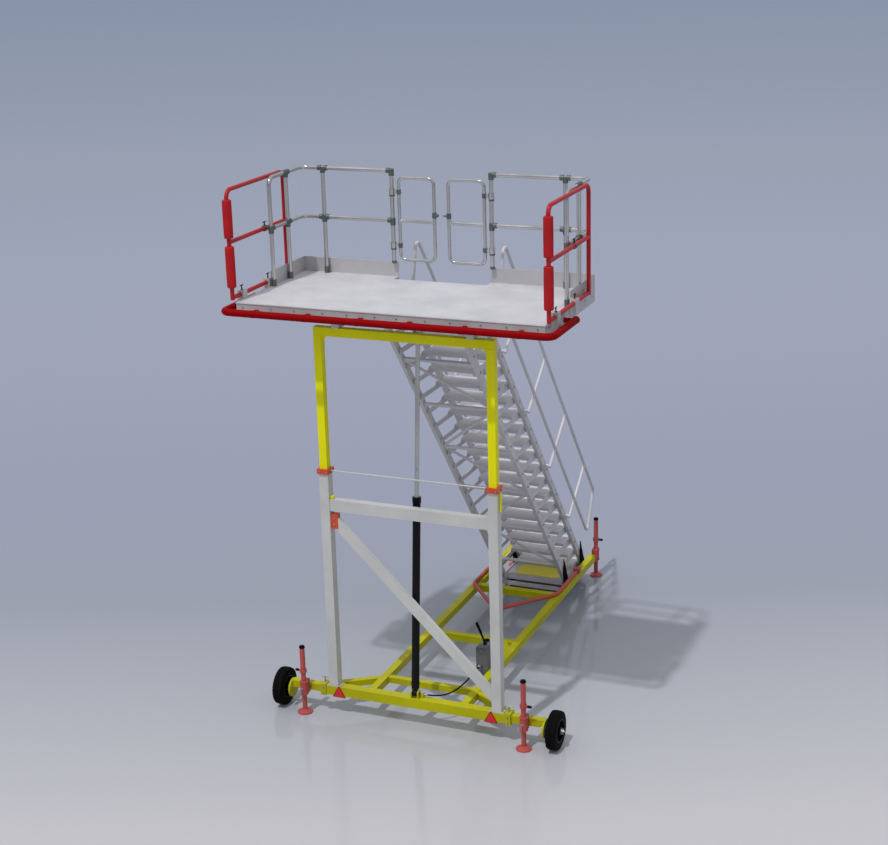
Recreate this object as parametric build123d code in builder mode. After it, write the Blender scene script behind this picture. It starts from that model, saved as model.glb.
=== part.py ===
"""Variable-height access platform.

A two-post telescopic mast on a wheeled chassis lifts a guarded deck, and a stair whose treads stay
level follows it. Millimetres, +Z up, front towards -Y. Pieces are modelled from the mast line
(y = 0) and the floor (z = 0), and moved to the part's origin when they are written.
"""

import os
from math import cos, radians, sin, tan

from build123d import *

os.makedirs("parts", exist_ok=True)

# Fits
RUN = 0.05  # radial clearance of a pin or axle in its bore
GAP = 0.3  # clearance between sliding faces, and round soft sleeves
SIDES = (-1, 1)

# Deck
DECK_Z = 4430  # walking surface over the floor
DECK_HALF = 1570  # half width
DECK_FRONT = -390
DECK_REAR = 1070
NOTCH_HALF = 500  # stair opening in the rear edge
NOTCH_DEPTH = 130
PLATE_T = 20
FRAME_H = 100
FRAME_W = 80
JOIST_W = 60
BEARER_X = 700
BEARER_H = 164
NOTCH_Y = DECK_REAR - NOTCH_DEPTH
FRAME_TOP = DECK_Z - PLATE_T
FRAME_BOTTOM = FRAME_TOP - FRAME_H

# Front bumper
BUMPER_D = 70
BUMPER_STAND = 69  # stand-off between the deck frame and the bumper
BUMPER_DROP = 80  # axis under the walking surface
BUMPER_BEND = 80
BUMPER_BACK = 180  # where the side returns end
BUMPER_POST_IN = 220  # outer stand-off from the deck's side
BUMPER_POST_X = (250, 800, DECK_HALF - BUMPER_POST_IN)
BUMPER_POST = 40
BUMPER_Y = DECK_FRONT - BUMPER_STAND - BUMPER_D / 2
BUMPER_X = DECK_HALF + BUMPER_STAND + BUMPER_D / 2
BUMPER_Z = DECK_Z - BUMPER_DROP

# Guards
GUARD_H = 1100
RAIL_D = 42  # guard tube
MID_H = 580  # middle rail over the deck
GUARD_BEND = 80
SIDE_GUARD_IN = 35  # tube axis from the deck's side
SIDE_GUARD_L = 700
REAR_GUARD_IN = 40  # tube axis from the deck's rear edge
CORNER_GAP = 65  # between the side and rear guards' posts
GATE_POST_OUT = 30  # gate post from the stair opening
TOE_H = 150
TOE_T = 8
SIDE_GUARD_X = DECK_HALF - SIDE_GUARD_IN
REAR_GUARD_Y = DECK_REAR - REAR_GUARD_IN
SIDE_GUARD_FRONT = REAR_GUARD_Y - SIDE_GUARD_L
REAR_GUARD_OUT = SIDE_GUARD_X - CORNER_GAP
GATE_POST_X = NOTCH_HALF + GATE_POST_OUT
GUARD_TOP = DECK_Z + GUARD_H - RAIL_D / 2
MID_Z = DECK_Z + MID_H

# Gates
GATE_D = 34
GATE_INNER = 60  # free edge of each leaf from the middle
GATE_HANG = 58  # hinged edge of each leaf from its post's axis
GATE_OUTER = GATE_POST_X - GATE_HANG
GATE_LOW = 170  # over the deck
GATE_HIGH = 1030
GATE_BEND = 60
KNUCKLE_D = 60
KNUCKLE_H = 60
KNUCKLE_Z = (330, 870)  # over the deck

# Sliding guards with foam sleeves
SLIDE_OUT = 37  # tube axis past the deck's side
SLIDE_BACK = 1  # front post behind the deck's front edge
SLIDE_L = 1151
SLIDE_LOW = 40  # bottom rail over the deck
FOAM_D = 92
FOAM_SPANS = ((140, 540), (620, 990))  # low and high end of each sleeve over the deck
RUNNER_Y = (-200, 340)
RUNNER_L = 80
RUNNER_OUT = 33  # runner block past the rail's axis
RUNNER_TOP = 80  # runner block over the deck
SLIDE_X = DECK_HALF + SLIDE_OUT
SLIDE_FRONT = DECK_FRONT + SLIDE_BACK
SLIDE_REAR = SLIDE_FRONT + SLIDE_L
SLIDE_Z = DECK_Z + SLIDE_LOW

# Chassis
BEAM = 100
BEAM_TOP = 310
BEAM_HALF = 1050
CLAMP = 124
CLAMP_L = 60
OUTRIGGER = 76
OUTRIGGER_L = 340
HUB_T = 20
HUB_D = 200
CHASSIS_RAIL_X = 510
CHASSIS_RAIL = 80
CHASSIS_RAIL_DROP = 10  # rails' top under the beam's
CHASSIS_RAIL_END = 4300
CROSS_Y = (1620, 3000)
BOW_Y = 400
BOW_LAP = 30  # bowed brace past the rails' axes
BOW_OUT_GAP = 50  # bowed brace from the beam's end
BOW = 64
OUTRIGGER_END = BEAM_HALF + OUTRIGGER_L
BOW_IN = CHASSIS_RAIL_X - BOW_LAP
BOW_OUT = BEAM_HALF - BOW_OUT_GAP
BEAM_MID = BEAM_TOP - BEAM / 2
CHASSIS_RAIL_TOP = BEAM_TOP - CHASSIS_RAIL_DROP
RAIL_MID = CHASSIS_RAIL_TOP - CHASSIS_RAIL / 2

# Mast
POST_IN = 150  # posts' axes from the beam's ends
POST = 100
POST_WALL = 8
POST_TOP = 2640
BASE_T = 12
BASE_W = 150
COLLAR = 130
COLLAR_H = 50
INNER = 80
INNER_FOOT = 1700  # lower end of the inner posts, inside the outer ones
PAD_H = 60
MAST_BEAM_H = 86
CROSS_DROP = 390  # underside of the white cross beam under the posts' tops
CROSS_H = 120
CROSS_D = 80
DIAGONAL_UP = 90  # lower end over the chassis beam
DIAGONAL_DROP = 150  # upper end under the white cross beam's underside
DIAGONAL_H = 145  # measured upright
DIAGONAL_T = 50
BRACE_SHOE_W = 75  # orange shoe that holds the diagonal's upper end
BRACE_SHOE_D = 60
BRACE_SHOE_LOW = 40  # under the diagonal's upper end
BRACE_SHOE_H = 155
TIE_D = 16
POST_X = BEAM_HALF - POST_IN
MAST_BEAM_Z = FRAME_BOTTOM - BEARER_H - MAST_BEAM_H
CROSS_Z = POST_TOP - CROSS_DROP
DIAGONAL_LOW = BEAM_TOP + DIAGONAL_UP
DIAGONAL_HIGH = CROSS_Z - DIAGONAL_DROP

# Wheels
WHEEL_IN = 39  # between the outrigger's disc and the wheel
WHEEL_R = 200
TYRE_W = 110
TYRE_ROUND = 24
RIM_R = 118
RIM_WALL = 8
DISC_T = 12
WHEEL_HUB_D = 80
AXLE_D = 40
AXLE_CAP_D = 60
AXLE_CAP_T = 16
WHEEL_SIDE = 6  # gap between the hub and its stops
WHEEL_X = OUTRIGGER_END + HUB_T + WHEEL_IN + TYRE_W / 2

# Support jacks
JACK_D = 50
JACK_TOP = 745
JACK_FOOT_D = 160
JACK_FOOT_T = 12
JACK_CONE_H = 36
JACK_CONE_D = 64
JACK_COLLAR_D = 74
JACK_COLLAR_UP = 100  # collar over the sleeve
JACK_COLLAR_H = 34
JACK_HANDLE_D = 18
JACK_HANDLE_L = 80
SLEEVE_D = 78
SLEEVE_DROP = 55  # lower end under the beam's axis
SLEEVE_L = 150
FRONT_JACK_OUT = 162  # jack axis past the beam's end
JACK_OFFSET = 80  # sleeve axis from the face that carries it
REAR_JACK_OUT = 20  # jack axis past the rail's
BRACKET_W = 60
SLEEVE_LOW = BEAM_MID - SLEEVE_DROP
SLEEVE_HIGH = SLEEVE_LOW + SLEEVE_L
JACK_COLLAR_Z = SLEEVE_HIGH + JACK_COLLAR_UP
FRONT_JACK_X = BEAM_HALF + FRONT_JACK_OUT
REAR_JACK_X = CHASSIS_RAIL_X + REAR_JACK_OUT

# Lift cylinder
CLEVIS_UP = 50  # lower pin over the beam
EYE_DROP = 280  # upper eye under the deck frame
EYE_Y = 350
JOIST_Y = (0, EYE_Y, 620)  # deck joists, one of them over the upper eye
CLEVIS_Z = BEAM_TOP + CLEVIS_UP
EYE_Z = FRAME_BOTTOM - EYE_DROP
PIN_D = 30
EYE_D = 70
EYE_W = 50
EAR_T = 12
EAR_GAP = 6
BARREL_D = 80
BARREL_BORE = 62
BARREL_L = 2065  # from the pin to the gland's face
BARREL_FOOT = 50  # from the pin to the barrel's lower end
BARREL_FLOOR = 90
GLAND_L = 60
ROD_D = 45
ROD_IN = 300  # length of rod inside the barrel
PISTON_L = 50

# Stair
RISERS = 20  # from the foot step to the deck
FOOT_STEP_Z = 250
SLOPE = 51.2  # degrees, at the photographed height
LINK = 620  # level distance between lower and upper chord
TREAD_LIFT = 60  # tread surface over its pivots
TREAD_DEPTH = 290
TREAD_OVERHANG = 30  # nose past the upper pivot
TREAD_T = 6
TREAD_LIP = 36
TREAD_EXPOSED = 130  # top step past the deck's edge
LINK_H = 50
LINK_T = 10
LINK_GAP = 10  # between the end links and the chords
CHORD_X = 400
CHORD_W = 40
LINK_X = CHORD_X - CHORD_W / 2 - LINK_GAP - LINK_T  # inner face of the end links
CHORD_H = 75
CHORD_TIP = 40
PIVOT_D = 20
PIVOT_PROUD = 8
LADDER_STEPS = (2.5, 5.5, 8.5, 11.5, 14.5, 17.5)
LADDER_D = 40
LACING_D = 30
HANGER_BACK = 60

RISE = (DECK_Z - FOOT_STEP_Z) / RISERS
GOING = RISE / tan(radians(SLOPE))
PIVOT_Y = NOTCH_Y + TREAD_EXPOSED - LINK - TREAD_OVERHANG
PIVOT_Z = DECK_Z - RISE - TREAD_LIFT
LAST = RISERS - 1  # pivot number of the rolling foot

# Stair handrails, measured along the upper chord and square to it
HAND_OUT = 80  # tube axis past the chord's
HAND_X = CHORD_X + HAND_OUT
HAND_D = 34
HAND_V = 720
HAND_MID_V = 235
HAND_TOP_U = -191
HAND_TOP_MID_U = 177
HAND_LOW_U = 4500
HAND_LOW_MID_U = 4724
HAND_POSTS = (700, 1783, 2866, 3949)
HAND_BEND = 60
STUB_D = 30

# Rolling foot
FOOT_WHEEL_R = 60
FOOT_WHEEL_W = 40
FOOT_WHEEL_ROUND = 8
FOOT_WHEEL_GAP = 20  # between the wheels and the cheeks
FOOT_AXLE_D = 25
FOOT_AXLE_IN = 110  # axle from its pivot, towards the middle
FOOT_LOW = 40
FOOT_CHEEK_DROP = 20  # cheeks' top under the step
FOOT_BOX_GAP = 15  # between the wheels and the boxed step
FOOT_BAR = 40
FOOT_BAR_DROP = 160  # cross bars' axes under the step
BOOT_GAP = 8  # between the boots and the chords
BOOT_T = 12
BOOT_TOP = 560
BOOT_LEAN = 180
FOOT_WHEEL_X = LINK_X - FOOT_WHEEL_GAP - FOOT_WHEEL_W / 2
FOOT_HIGH = FOOT_STEP_Z - FOOT_CHEEK_DROP
FOOT_BOX_LOW = 2 * FOOT_WHEEL_R + FOOT_BOX_GAP
FOOT_BAR_Z = FOOT_STEP_Z - FOOT_BAR_DROP
BOOT_X = CHORD_X + CHORD_W / 2 + BOOT_GAP

# Drawbar, stowed along the rails
DRAW_D = 45
DRAW_HINGE_IN = 600  # hinge from the rails' ends
DRAW_ARM_L = 760
DRAW_TIP_L = 640  # from the bend to the ring
DRAW_OUT = 5  # arm's axis past the rail's
DRAW_HINGE_Y = CHASSIS_RAIL_END - DRAW_HINGE_IN
DRAW_BEND_Y = DRAW_HINGE_Y - DRAW_ARM_L
DRAW_TIP_Y = DRAW_BEND_Y - DRAW_TIP_L
DRAW_X = CHASSIS_RAIL_X + DRAW_OUT
TOW_RING_D = 90
TOW_BORE_R = 20
TOW_RING_H = 30
LUG_T = 12
LUG_L = 90

# Hand pump and its hose
PUMP_Y = 930
PUMP_W = 130
PUMP_L = 220
PUMP_H = 430
PUMP_LOW = 120
PUMP_ROUND = 12
FILLER_D = 44
FILLER_H = 24
FILLER_IN = 45  # filler neck from the tank's rear face
LEVER_D = 22
LEVER_REACH = (-80, -20, 245)
WEDGE_L = 320  # yellow bracket on the rail behind the pump
WEDGE_H = 130
HOSE_D = 16
FITTING_D = 26
PORT = 36  # square of the hose port on the beam
PORT_L = 24
PORT_H = 56
HOSE_ROUTE = (
    (82, 25, 345),
    (142, 25, 345),
    (202, 61, 333),
    (252, 114, 322),
    (294, 180, 316),
    (330, 258, 319),
    (358, 346, 330),
    (379, 440, 344),
    (391, 535, 357),
    (398, 628, 366),
    (400, 720, 370),
    (400, 790, 370),
)

# Reflectors
REFLECTOR_IN = 210  # middle from the beam's end
REFLECTOR_X = BEAM_HALF - REFLECTOR_IN
REFLECTOR_R = 82
REFLECTOR_T = 8

# The origin is under the middle of the object's box, from the bumper to the rear jack feet.
REAR_JACK_Y = CHASSIS_RAIL_END + JACK_OFFSET
FRONT_JACK_Y = -OUTRIGGER / 2 - JACK_OFFSET
BOX_FRONT = BUMPER_Y - BUMPER_D / 2
BOX_REAR = REAR_JACK_Y + JACK_FOOT_D / 2
ORIGIN_SHIFT = -(BOX_FRONT + BOX_REAR) / 2


def save(piece, name):
    """Move a finished piece from the mast line to the part's origin, label it and write it."""
    placed = piece.part.moved(Location((0, ORIGIN_SHIFT, 0)))
    placed.label = name
    export_step(placed, f"parts/{name}.step")


def block(low, high):
    """Add a box between two opposite corners."""
    size = Vector(*high) - Vector(*low)
    with Locations((Vector(*low) + Vector(*high)) / 2):
        Box(size.X, size.Y, size.Z)


def rod(start, end, diameter, mode=Mode.ADD):
    """Add, or with Mode.SUBTRACT drill, a straight round bar."""
    run = Vector(*end) - Vector(*start)
    with BuildSketch(Plane(origin=start, z_dir=run)) as section:
        Circle(diameter / 2)
    extrude(section.sketch, amount=run.length, mode=mode)


def bar(start, end, wide, deep):
    """Add a straight rectangular bar that is level across its width."""
    run = Vector(*end) - Vector(*start)
    across = Vector(0, 0, 1).cross(run)
    with BuildSketch(Plane(origin=start, x_dir=across, z_dir=run)) as section:
        Rectangle(wide, deep)
    extrude(section.sketch, amount=run.length)


def tube(points, diameter, bend):
    """Add a bent round tube along straight runs joined by arcs."""
    with BuildLine() as path:
        FilletPolyline(*points, radius=bend)
    with BuildSketch(Plane(origin=path.line @ 0, z_dir=path.line % 0)) as section:
        Circle(diameter / 2)
    sweep(section.sketch, path=path.line)


def loop(corners, diameter, bend):
    """Add a closed four-cornered tube frame, as two bent halves that meet in mid-rail."""
    top_a, top_b, low_b, low_a = [Vector(*corner) for corner in corners]
    top_mid = (top_a + top_b) / 2
    low_mid = (low_a + low_b) / 2
    tube((top_mid, top_a, low_a, low_mid), diameter, bend)
    tube((top_mid, top_b, low_b, low_mid), diameter, bend)


def side_plate(outline, x_from, x_to):
    """Add a plate standing in the YZ plane from its (y, z) outline."""
    with BuildSketch(Plane.YZ.offset(min(x_from, x_to))) as face:
        with BuildLine():
            Polyline(*outline, close=True)
        make_face()
    extrude(face.sketch, amount=abs(x_to - x_from))


def pivot(step):
    """Lower pivot (y, z) of a step, counted down the stair from the fixed top step."""
    return PIVOT_Y + step * GOING, PIVOT_Z - step * RISE


def on_upper(along, square):
    """Point (y, z) at a distance along the upper chord from its top pivot and square to it."""
    slope = radians(SLOPE)
    y = PIVOT_Y + LINK + along * cos(slope) + square * sin(slope)
    z = PIVOT_Z - along * sin(slope) + square * cos(slope)
    return y, z


# Chassis frame: front beam, outriggers, rails, cross members, bowed brace and cylinder clevis
with BuildPart() as chassis_frame:
    block((-BEAM_HALF, -BEAM / 2, BEAM_TOP - BEAM), (BEAM_HALF, BEAM / 2, BEAM_TOP))
    for side in SIDES:
        bar((side * BEAM_HALF, 0, BEAM_MID), (side * OUTRIGGER_END, 0, BEAM_MID), OUTRIGGER, OUTRIGGER)
        bar(
            (side * (BEAM_HALF - CLAMP_L), 0, BEAM_MID),
            (side * BEAM_HALF, 0, BEAM_MID),
            CLAMP,
            CLAMP,
        )
        rod((side * OUTRIGGER_END, 0, WHEEL_R), (side * (OUTRIGGER_END + HUB_T), 0, WHEEL_R), HUB_D)
        block(
            (side * CHASSIS_RAIL_X - CHASSIS_RAIL / 2, BEAM / 2, CHASSIS_RAIL_TOP - CHASSIS_RAIL),
            (side * CHASSIS_RAIL_X + CHASSIS_RAIL / 2, CHASSIS_RAIL_END, CHASSIS_RAIL_TOP),
        )
        bar((side * BOW_OUT, BEAM / 2, RAIL_MID), (side * BOW_IN, BOW_Y, RAIL_MID), BOW, BOW)
        ear = EYE_W / 2 + EAR_GAP
        with BuildSketch(Plane.YZ.offset(side * (ear + EAR_T / 2) - EAR_T / 2)) as ear_face:
            with Locations((0, CLEVIS_Z)):
                Circle(EYE_D / 2)
            with Locations((0, (BEAM_TOP + CLEVIS_Z) / 2)):
                Rectangle(EYE_D, CLEVIS_Z - BEAM_TOP)
            with Locations((0, CLEVIS_Z)):
                Circle(PIN_D / 2 + RUN, mode=Mode.SUBTRACT)
        extrude(ear_face.sketch, amount=EAR_T)
    bar((-BOW_IN, BOW_Y, RAIL_MID), (BOW_IN, BOW_Y, RAIL_MID), BOW, BOW)
    wedge_y = PUMP_Y + PUMP_L / 2
    with BuildSketch(Plane.XZ.offset(-wedge_y - WEDGE_L)) as wedge:
        with BuildLine():
            Polyline(
                (CHASSIS_RAIL_X - CHASSIS_RAIL / 2, CHASSIS_RAIL_TOP),
                (CHASSIS_RAIL_X + CHASSIS_RAIL / 2, CHASSIS_RAIL_TOP),
                (CHASSIS_RAIL_X - CHASSIS_RAIL / 2, CHASSIS_RAIL_TOP + WEDGE_H),
                close=True,
            )
        make_face()
    extrude(wedge.sketch, amount=WEDGE_L)
    port = HOSE_ROUTE[0]
    block(
        (port[0] - PORT_L, port[1] - PORT / 2, BEAM_TOP),
        (port[0], port[1] + PORT / 2, BEAM_TOP + PORT_H),
    )
    for y in CROSS_Y:
        bar(
            (-CHASSIS_RAIL_X, y, RAIL_MID),
            (CHASSIS_RAIL_X, y, RAIL_MID),
            CHASSIS_RAIL,
            CHASSIS_RAIL,
        )
save(chassis_frame, "chassis_frame")

# Stub axles with their end caps
with BuildPart() as axle_stubs:
    for side in SIDES:
        inner = side * (OUTRIGGER_END + HUB_T)
        outer = side * (WHEEL_X + TYRE_W / 2 + WHEEL_SIDE)
        rod((inner, 0, WHEEL_R), (outer, 0, WHEEL_R), AXLE_D)
        rod((outer, 0, WHEEL_R), (outer + side * AXLE_CAP_T, 0, WHEEL_R), AXLE_CAP_D)
save(axle_stubs, "axle_stubs")

# Front wheels: dished black rims that turn on the stubs, and their tyres
for side, name in zip(SIDES, ("left", "right")):
    face = Plane.YZ.offset(side * WHEEL_X - TYRE_W / 2)
    with BuildPart() as rim:
        low_x, high_x = side * WHEEL_X - TYRE_W / 2, side * WHEEL_X + TYRE_W / 2
        disc_low, disc_high = side * WHEEL_X - DISC_T / 2, side * WHEEL_X + DISC_T / 2
        bore = WHEEL_R + AXLE_D / 2 + RUN
        hub = WHEEL_R + WHEEL_HUB_D / 2
        seat = WHEEL_R + RIM_R
        with BuildSketch(Plane.XZ) as profile:
            with BuildLine():
                Polyline(
                    (low_x, bore),
                    (low_x, hub),
                    (disc_low, hub),
                    (disc_low, seat - RIM_WALL),
                    (low_x, seat - RIM_WALL),
                    (low_x, seat),
                    (high_x, seat),
                    (high_x, seat - RIM_WALL),
                    (disc_high, seat - RIM_WALL),
                    (disc_high, hub),
                    (high_x, hub),
                    (high_x, bore),
                    close=True,
                )
            make_face()
        revolve(profile.sketch, axis=Axis((0, 0, WHEEL_R), (1, 0, 0)))
    save(rim, f"wheel_rim_{name}")
    with BuildPart() as tyre:
        with BuildSketch(face) as ring:
            with Locations((0, WHEEL_R)):
                Circle(WHEEL_R)
        extrude(ring.sketch, amount=TYRE_W)
        fillet(tyre.edges(), TYRE_ROUND)
        with BuildSketch(face) as opening:
            with Locations((0, WHEEL_R)):
                Circle(RIM_R)
        extrude(opening.sketch, amount=TYRE_W, mode=Mode.SUBTRACT)
    save(tyre, f"tyre_{name}")

# Support jacks: columns are x, y and the way in y to the face that carries the sleeve
JACKS = {
    "front_left": (-FRONT_JACK_X, FRONT_JACK_Y, 1),
    "front_right": (FRONT_JACK_X, FRONT_JACK_Y, 1),
    "rear_left": (-REAR_JACK_X, REAR_JACK_Y, -1),
    "rear_right": (REAR_JACK_X, REAR_JACK_Y, -1),
}
with BuildPart() as jack_sleeves:
    for x, y, carrier in JACKS.values():
        with BuildSketch(Plane.XY.offset(SLEEVE_LOW)) as section:
            with Locations((x, y)):
                Circle(SLEEVE_D / 2)
            with Locations((x, y + carrier * JACK_OFFSET / 2)):
                Rectangle(BRACKET_W, JACK_OFFSET)
            with Locations((x, y)):
                Circle(JACK_D / 2 + GAP, mode=Mode.SUBTRACT)
        extrude(section.sketch, amount=SLEEVE_HIGH - SLEEVE_LOW)
save(jack_sleeves, "jack_sleeves")

for name, (x, y, carrier) in JACKS.items():
    with BuildPart() as leg:
        with BuildSketch(Plane.XZ.offset(-y)) as half:
            with BuildLine():
                Polyline(
                    (x, 0),
                    (x + JACK_FOOT_D / 2, 0),
                    (x + JACK_FOOT_D / 2, JACK_FOOT_T),
                    (x + JACK_CONE_D / 2, JACK_CONE_H),
                    (x + JACK_D / 2, JACK_CONE_H),
                    (x + JACK_D / 2, JACK_COLLAR_Z),
                    (x + JACK_COLLAR_D / 2, JACK_COLLAR_Z),
                    (x + JACK_COLLAR_D / 2, JACK_COLLAR_Z + JACK_COLLAR_H),
                    (x + JACK_D / 2, JACK_COLLAR_Z + JACK_COLLAR_H),
                    (x + JACK_D / 2, JACK_TOP),
                    (x, JACK_TOP),
                    close=True,
                )
            make_face()
        revolve(half.sketch, axis=Axis((x, y, 0), (0, 0, 1)))
        handle_z = JACK_COLLAR_Z + JACK_COLLAR_H / 2
        outward = JACK_HANDLE_L if x > 0 else -JACK_HANDLE_L
        rod((x, y, handle_z), (x + outward, y, handle_z), JACK_HANDLE_D)
    save(leg, f"jack_leg_{name}")

# Red triangular reflectors on the front beam
with BuildPart() as reflectors:
    with BuildSketch(Plane.XZ.offset(BEAM / 2)) as triangles:
        with Locations((-REFLECTOR_X, BEAM_MID - REFLECTOR_R / 4), (REFLECTOR_X, BEAM_MID - REFLECTOR_R / 4)):
            RegularPolygon(REFLECTOR_R, 3, rotation=90)
    extrude(triangles.sketch, amount=REFLECTOR_T)
save(reflectors, "reflectors")

# Hand pump on the right rail, its lever, and the hose to the cylinder's clevis
PUMP_RIGHT = CHASSIS_RAIL_X - CHASSIS_RAIL / 2
PUMP_LEFT = PUMP_RIGHT - PUMP_W
LEVER_FOOT = (PUMP_LEFT + PUMP_W / 2, PUMP_Y, PUMP_LOW + PUMP_H)
with BuildPart() as pump_unit:
    block(
        (PUMP_LEFT, PUMP_Y - PUMP_L / 2, PUMP_LOW),
        (PUMP_RIGHT, PUMP_Y + PUMP_L / 2, PUMP_LOW + PUMP_H),
    )
    fillet(pump_unit.edges().filter_by(Axis.Z), PUMP_ROUND)
    filler = (LEVER_FOOT[0], PUMP_Y + PUMP_L / 2 - FILLER_IN, LEVER_FOOT[2])
    rod(filler, (filler[0], filler[1], filler[2] + FILLER_H), FILLER_D)
    tip = HOSE_ROUTE[-1]
    rod((tip[0], tip[1], tip[2]), (tip[0], PUMP_Y, tip[2]), FITTING_D)
save(pump_unit, "pump_unit")

with BuildPart() as pump_lever:
    reach = Vector(*LEVER_FOOT) + Vector(*LEVER_REACH)
    rod(LEVER_FOOT, (LEVER_FOOT[0], LEVER_FOOT[1], LEVER_FOOT[2] + LEVER_D), 2 * LEVER_D)
    rod((LEVER_FOOT[0], LEVER_FOOT[1], LEVER_FOOT[2] + LEVER_D), reach, LEVER_D)
save(pump_lever, "pump_lever")

hose_runs = [Vector(*b) - Vector(*a) for a, b in zip(HOSE_ROUTE, HOSE_ROUTE[1:])]
hose_radii = []
for before, after in zip(hose_runs, hose_runs[1:]):
    turn = radians(before.get_angle(after))
    hose_radii.append(0.45 * min(before.length, after.length) / tan(turn / 2))
print("hose radii", [round(radius) for radius in hose_radii])
with BuildPart() as pump_hose:
    with BuildLine() as hose_path:
        FilletPolyline(*HOSE_ROUTE, radius=hose_radii)
    with BuildSketch(Plane(origin=hose_path.line @ 0, z_dir=hose_path.line % 0)) as hose_section:
        Circle(HOSE_D / 2)
    sweep(hose_section.sketch, path=hose_path.line)
hose_length = sum(edge.length for edge in hose_path.edges())
print("hose volume share", round(pump_hose.part.volume / (hose_section.sketch.area * hose_length), 4))
save(pump_hose, "pump_hose")

# Drawbar: two arms lugged to the rails that meet at a towing ring
with BuildPart() as drawbar:
    arm_z = CHASSIS_RAIL_TOP + DRAW_D / 2
    for side in SIDES:
        tube(
            (
                (side * DRAW_X, DRAW_HINGE_Y, arm_z),
                (side * DRAW_X, DRAW_BEND_Y, arm_z),
                (0, DRAW_TIP_Y, arm_z),
            ),
            DRAW_D,
            4 * DRAW_D,
        )
        block(
            (side * DRAW_X - DRAW_D / 2 - LUG_T, DRAW_HINGE_Y - LUG_L / 2, CHASSIS_RAIL_TOP),
            (side * DRAW_X + DRAW_D / 2 + LUG_T, DRAW_HINGE_Y + LUG_L / 2, arm_z + DRAW_D / 2 + LUG_T),
        )
    ring_y = DRAW_TIP_Y - TOW_RING_D / 2
    with BuildSketch(Plane.XY.offset(arm_z - TOW_RING_H / 2)) as ring:
        with Locations((0, ring_y)):
            Circle(TOW_RING_D / 2)
    extrude(ring.sketch, amount=TOW_RING_H)
    rod((0, ring_y, arm_z - DRAW_D), (0, ring_y, arm_z + DRAW_D), 2 * TOW_BORE_R, mode=Mode.SUBTRACT)
save(drawbar, "drawbar")

# Outer posts, hollow, on base plates
with BuildPart() as outer_posts:
    for side in SIDES:
        with BuildSketch(Plane.XY.offset(BEAM_TOP)) as foot:
            with Locations((side * POST_X, 0)):
                Rectangle(BASE_W, BEAM)
        extrude(foot.sketch, amount=BASE_T)
        with BuildSketch(Plane.XY.offset(BEAM_TOP + BASE_T)) as wall:
            with Locations((side * POST_X, 0)):
                Rectangle(POST, POST)
                Rectangle(POST - 2 * POST_WALL, POST - 2 * POST_WALL, mode=Mode.SUBTRACT)
        extrude(wall.sketch, amount=POST_TOP - BEAM_TOP - BASE_T)
save(outer_posts, "outer_posts")

# Guide collars on the outer posts, and the shoe on the left post for the diagonal
with BuildPart() as post_collars:
    with BuildSketch(Plane.XY.offset(POST_TOP)) as collar_section:
        with Locations((-POST_X, 0), (POST_X, 0)):
            Rectangle(COLLAR, COLLAR)
            Rectangle(INNER + 2 * GAP, INNER + 2 * GAP, mode=Mode.SUBTRACT)
    extrude(collar_section.sketch, amount=COLLAR_H)
    shoe_from = -POST_X + POST / 2
    shoe_z = DIAGONAL_HIGH - BRACE_SHOE_LOW
    block(
        (shoe_from, -BRACE_SHOE_D / 2, shoe_z),
        (shoe_from + BRACE_SHOE_W, BRACE_SHOE_D / 2, shoe_z + BRACE_SHOE_H),
    )
save(post_collars, "post_collars")

# Cross beam and diagonal between the outer posts, and the thin tie between the collars
with BuildPart() as mast_braces:
    inside = POST_X - POST / 2
    block((-inside, -CROSS_D / 2, CROSS_Z), (inside, CROSS_D / 2, CROSS_Z + CROSS_H))
    strip_from = -inside + BRACE_SHOE_W
    strip_z = DIAGONAL_HIGH - (DIAGONAL_HIGH - DIAGONAL_LOW) * BRACE_SHOE_W / (2 * inside)
    with BuildSketch(Plane.XZ.offset(-DIAGONAL_T / 2)) as strip:
        with BuildLine():
            Polyline(
                (strip_from, strip_z),
                (strip_from, strip_z + DIAGONAL_H),
                (inside, DIAGONAL_LOW + DIAGONAL_H),
                (inside, DIAGONAL_LOW),
                close=True,
            )
        make_face()
    extrude(strip.sketch, amount=DIAGONAL_T)
    tie_end = POST_X - COLLAR / 2
    tie_z = POST_TOP + COLLAR_H / 2
    rod((-tie_end, 0, tie_z), (tie_end, 0, tie_z), TIE_D)
save(mast_braces, "mast_braces")

# Lift cylinder, leaning back from its clevis to the deck frame
LIFT_RUN = Vector(0, EYE_Y, EYE_Z - CLEVIS_Z)
LIFT_AXIS = LIFT_RUN.normalized()


def on_lift(distance):
    """Point on the cylinder's axis at a distance from its lower pin."""
    return Vector(0, 0, CLEVIS_Z) + LIFT_AXIS * distance


with BuildPart() as cylinder_barrel:
    rod(on_lift(0), on_lift(BARREL_FOOT), EYE_W)
    rod(on_lift(BARREL_FOOT), on_lift(BARREL_L), BARREL_D)
    rod((-EYE_W / 2, 0, CLEVIS_Z), (EYE_W / 2, 0, CLEVIS_Z), EYE_D)
    pin_end = EYE_W / 2 + EAR_GAP + EAR_T + EAR_GAP
    rod((-pin_end, 0, CLEVIS_Z), (pin_end, 0, CLEVIS_Z), PIN_D)
    rod(on_lift(BARREL_FLOOR), on_lift(BARREL_L - GLAND_L), BARREL_BORE, mode=Mode.SUBTRACT)
    rod(on_lift(BARREL_FLOOR), on_lift(BARREL_L), ROD_D + 2 * GAP, mode=Mode.SUBTRACT)
save(cylinder_barrel, "cylinder_barrel")

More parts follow.
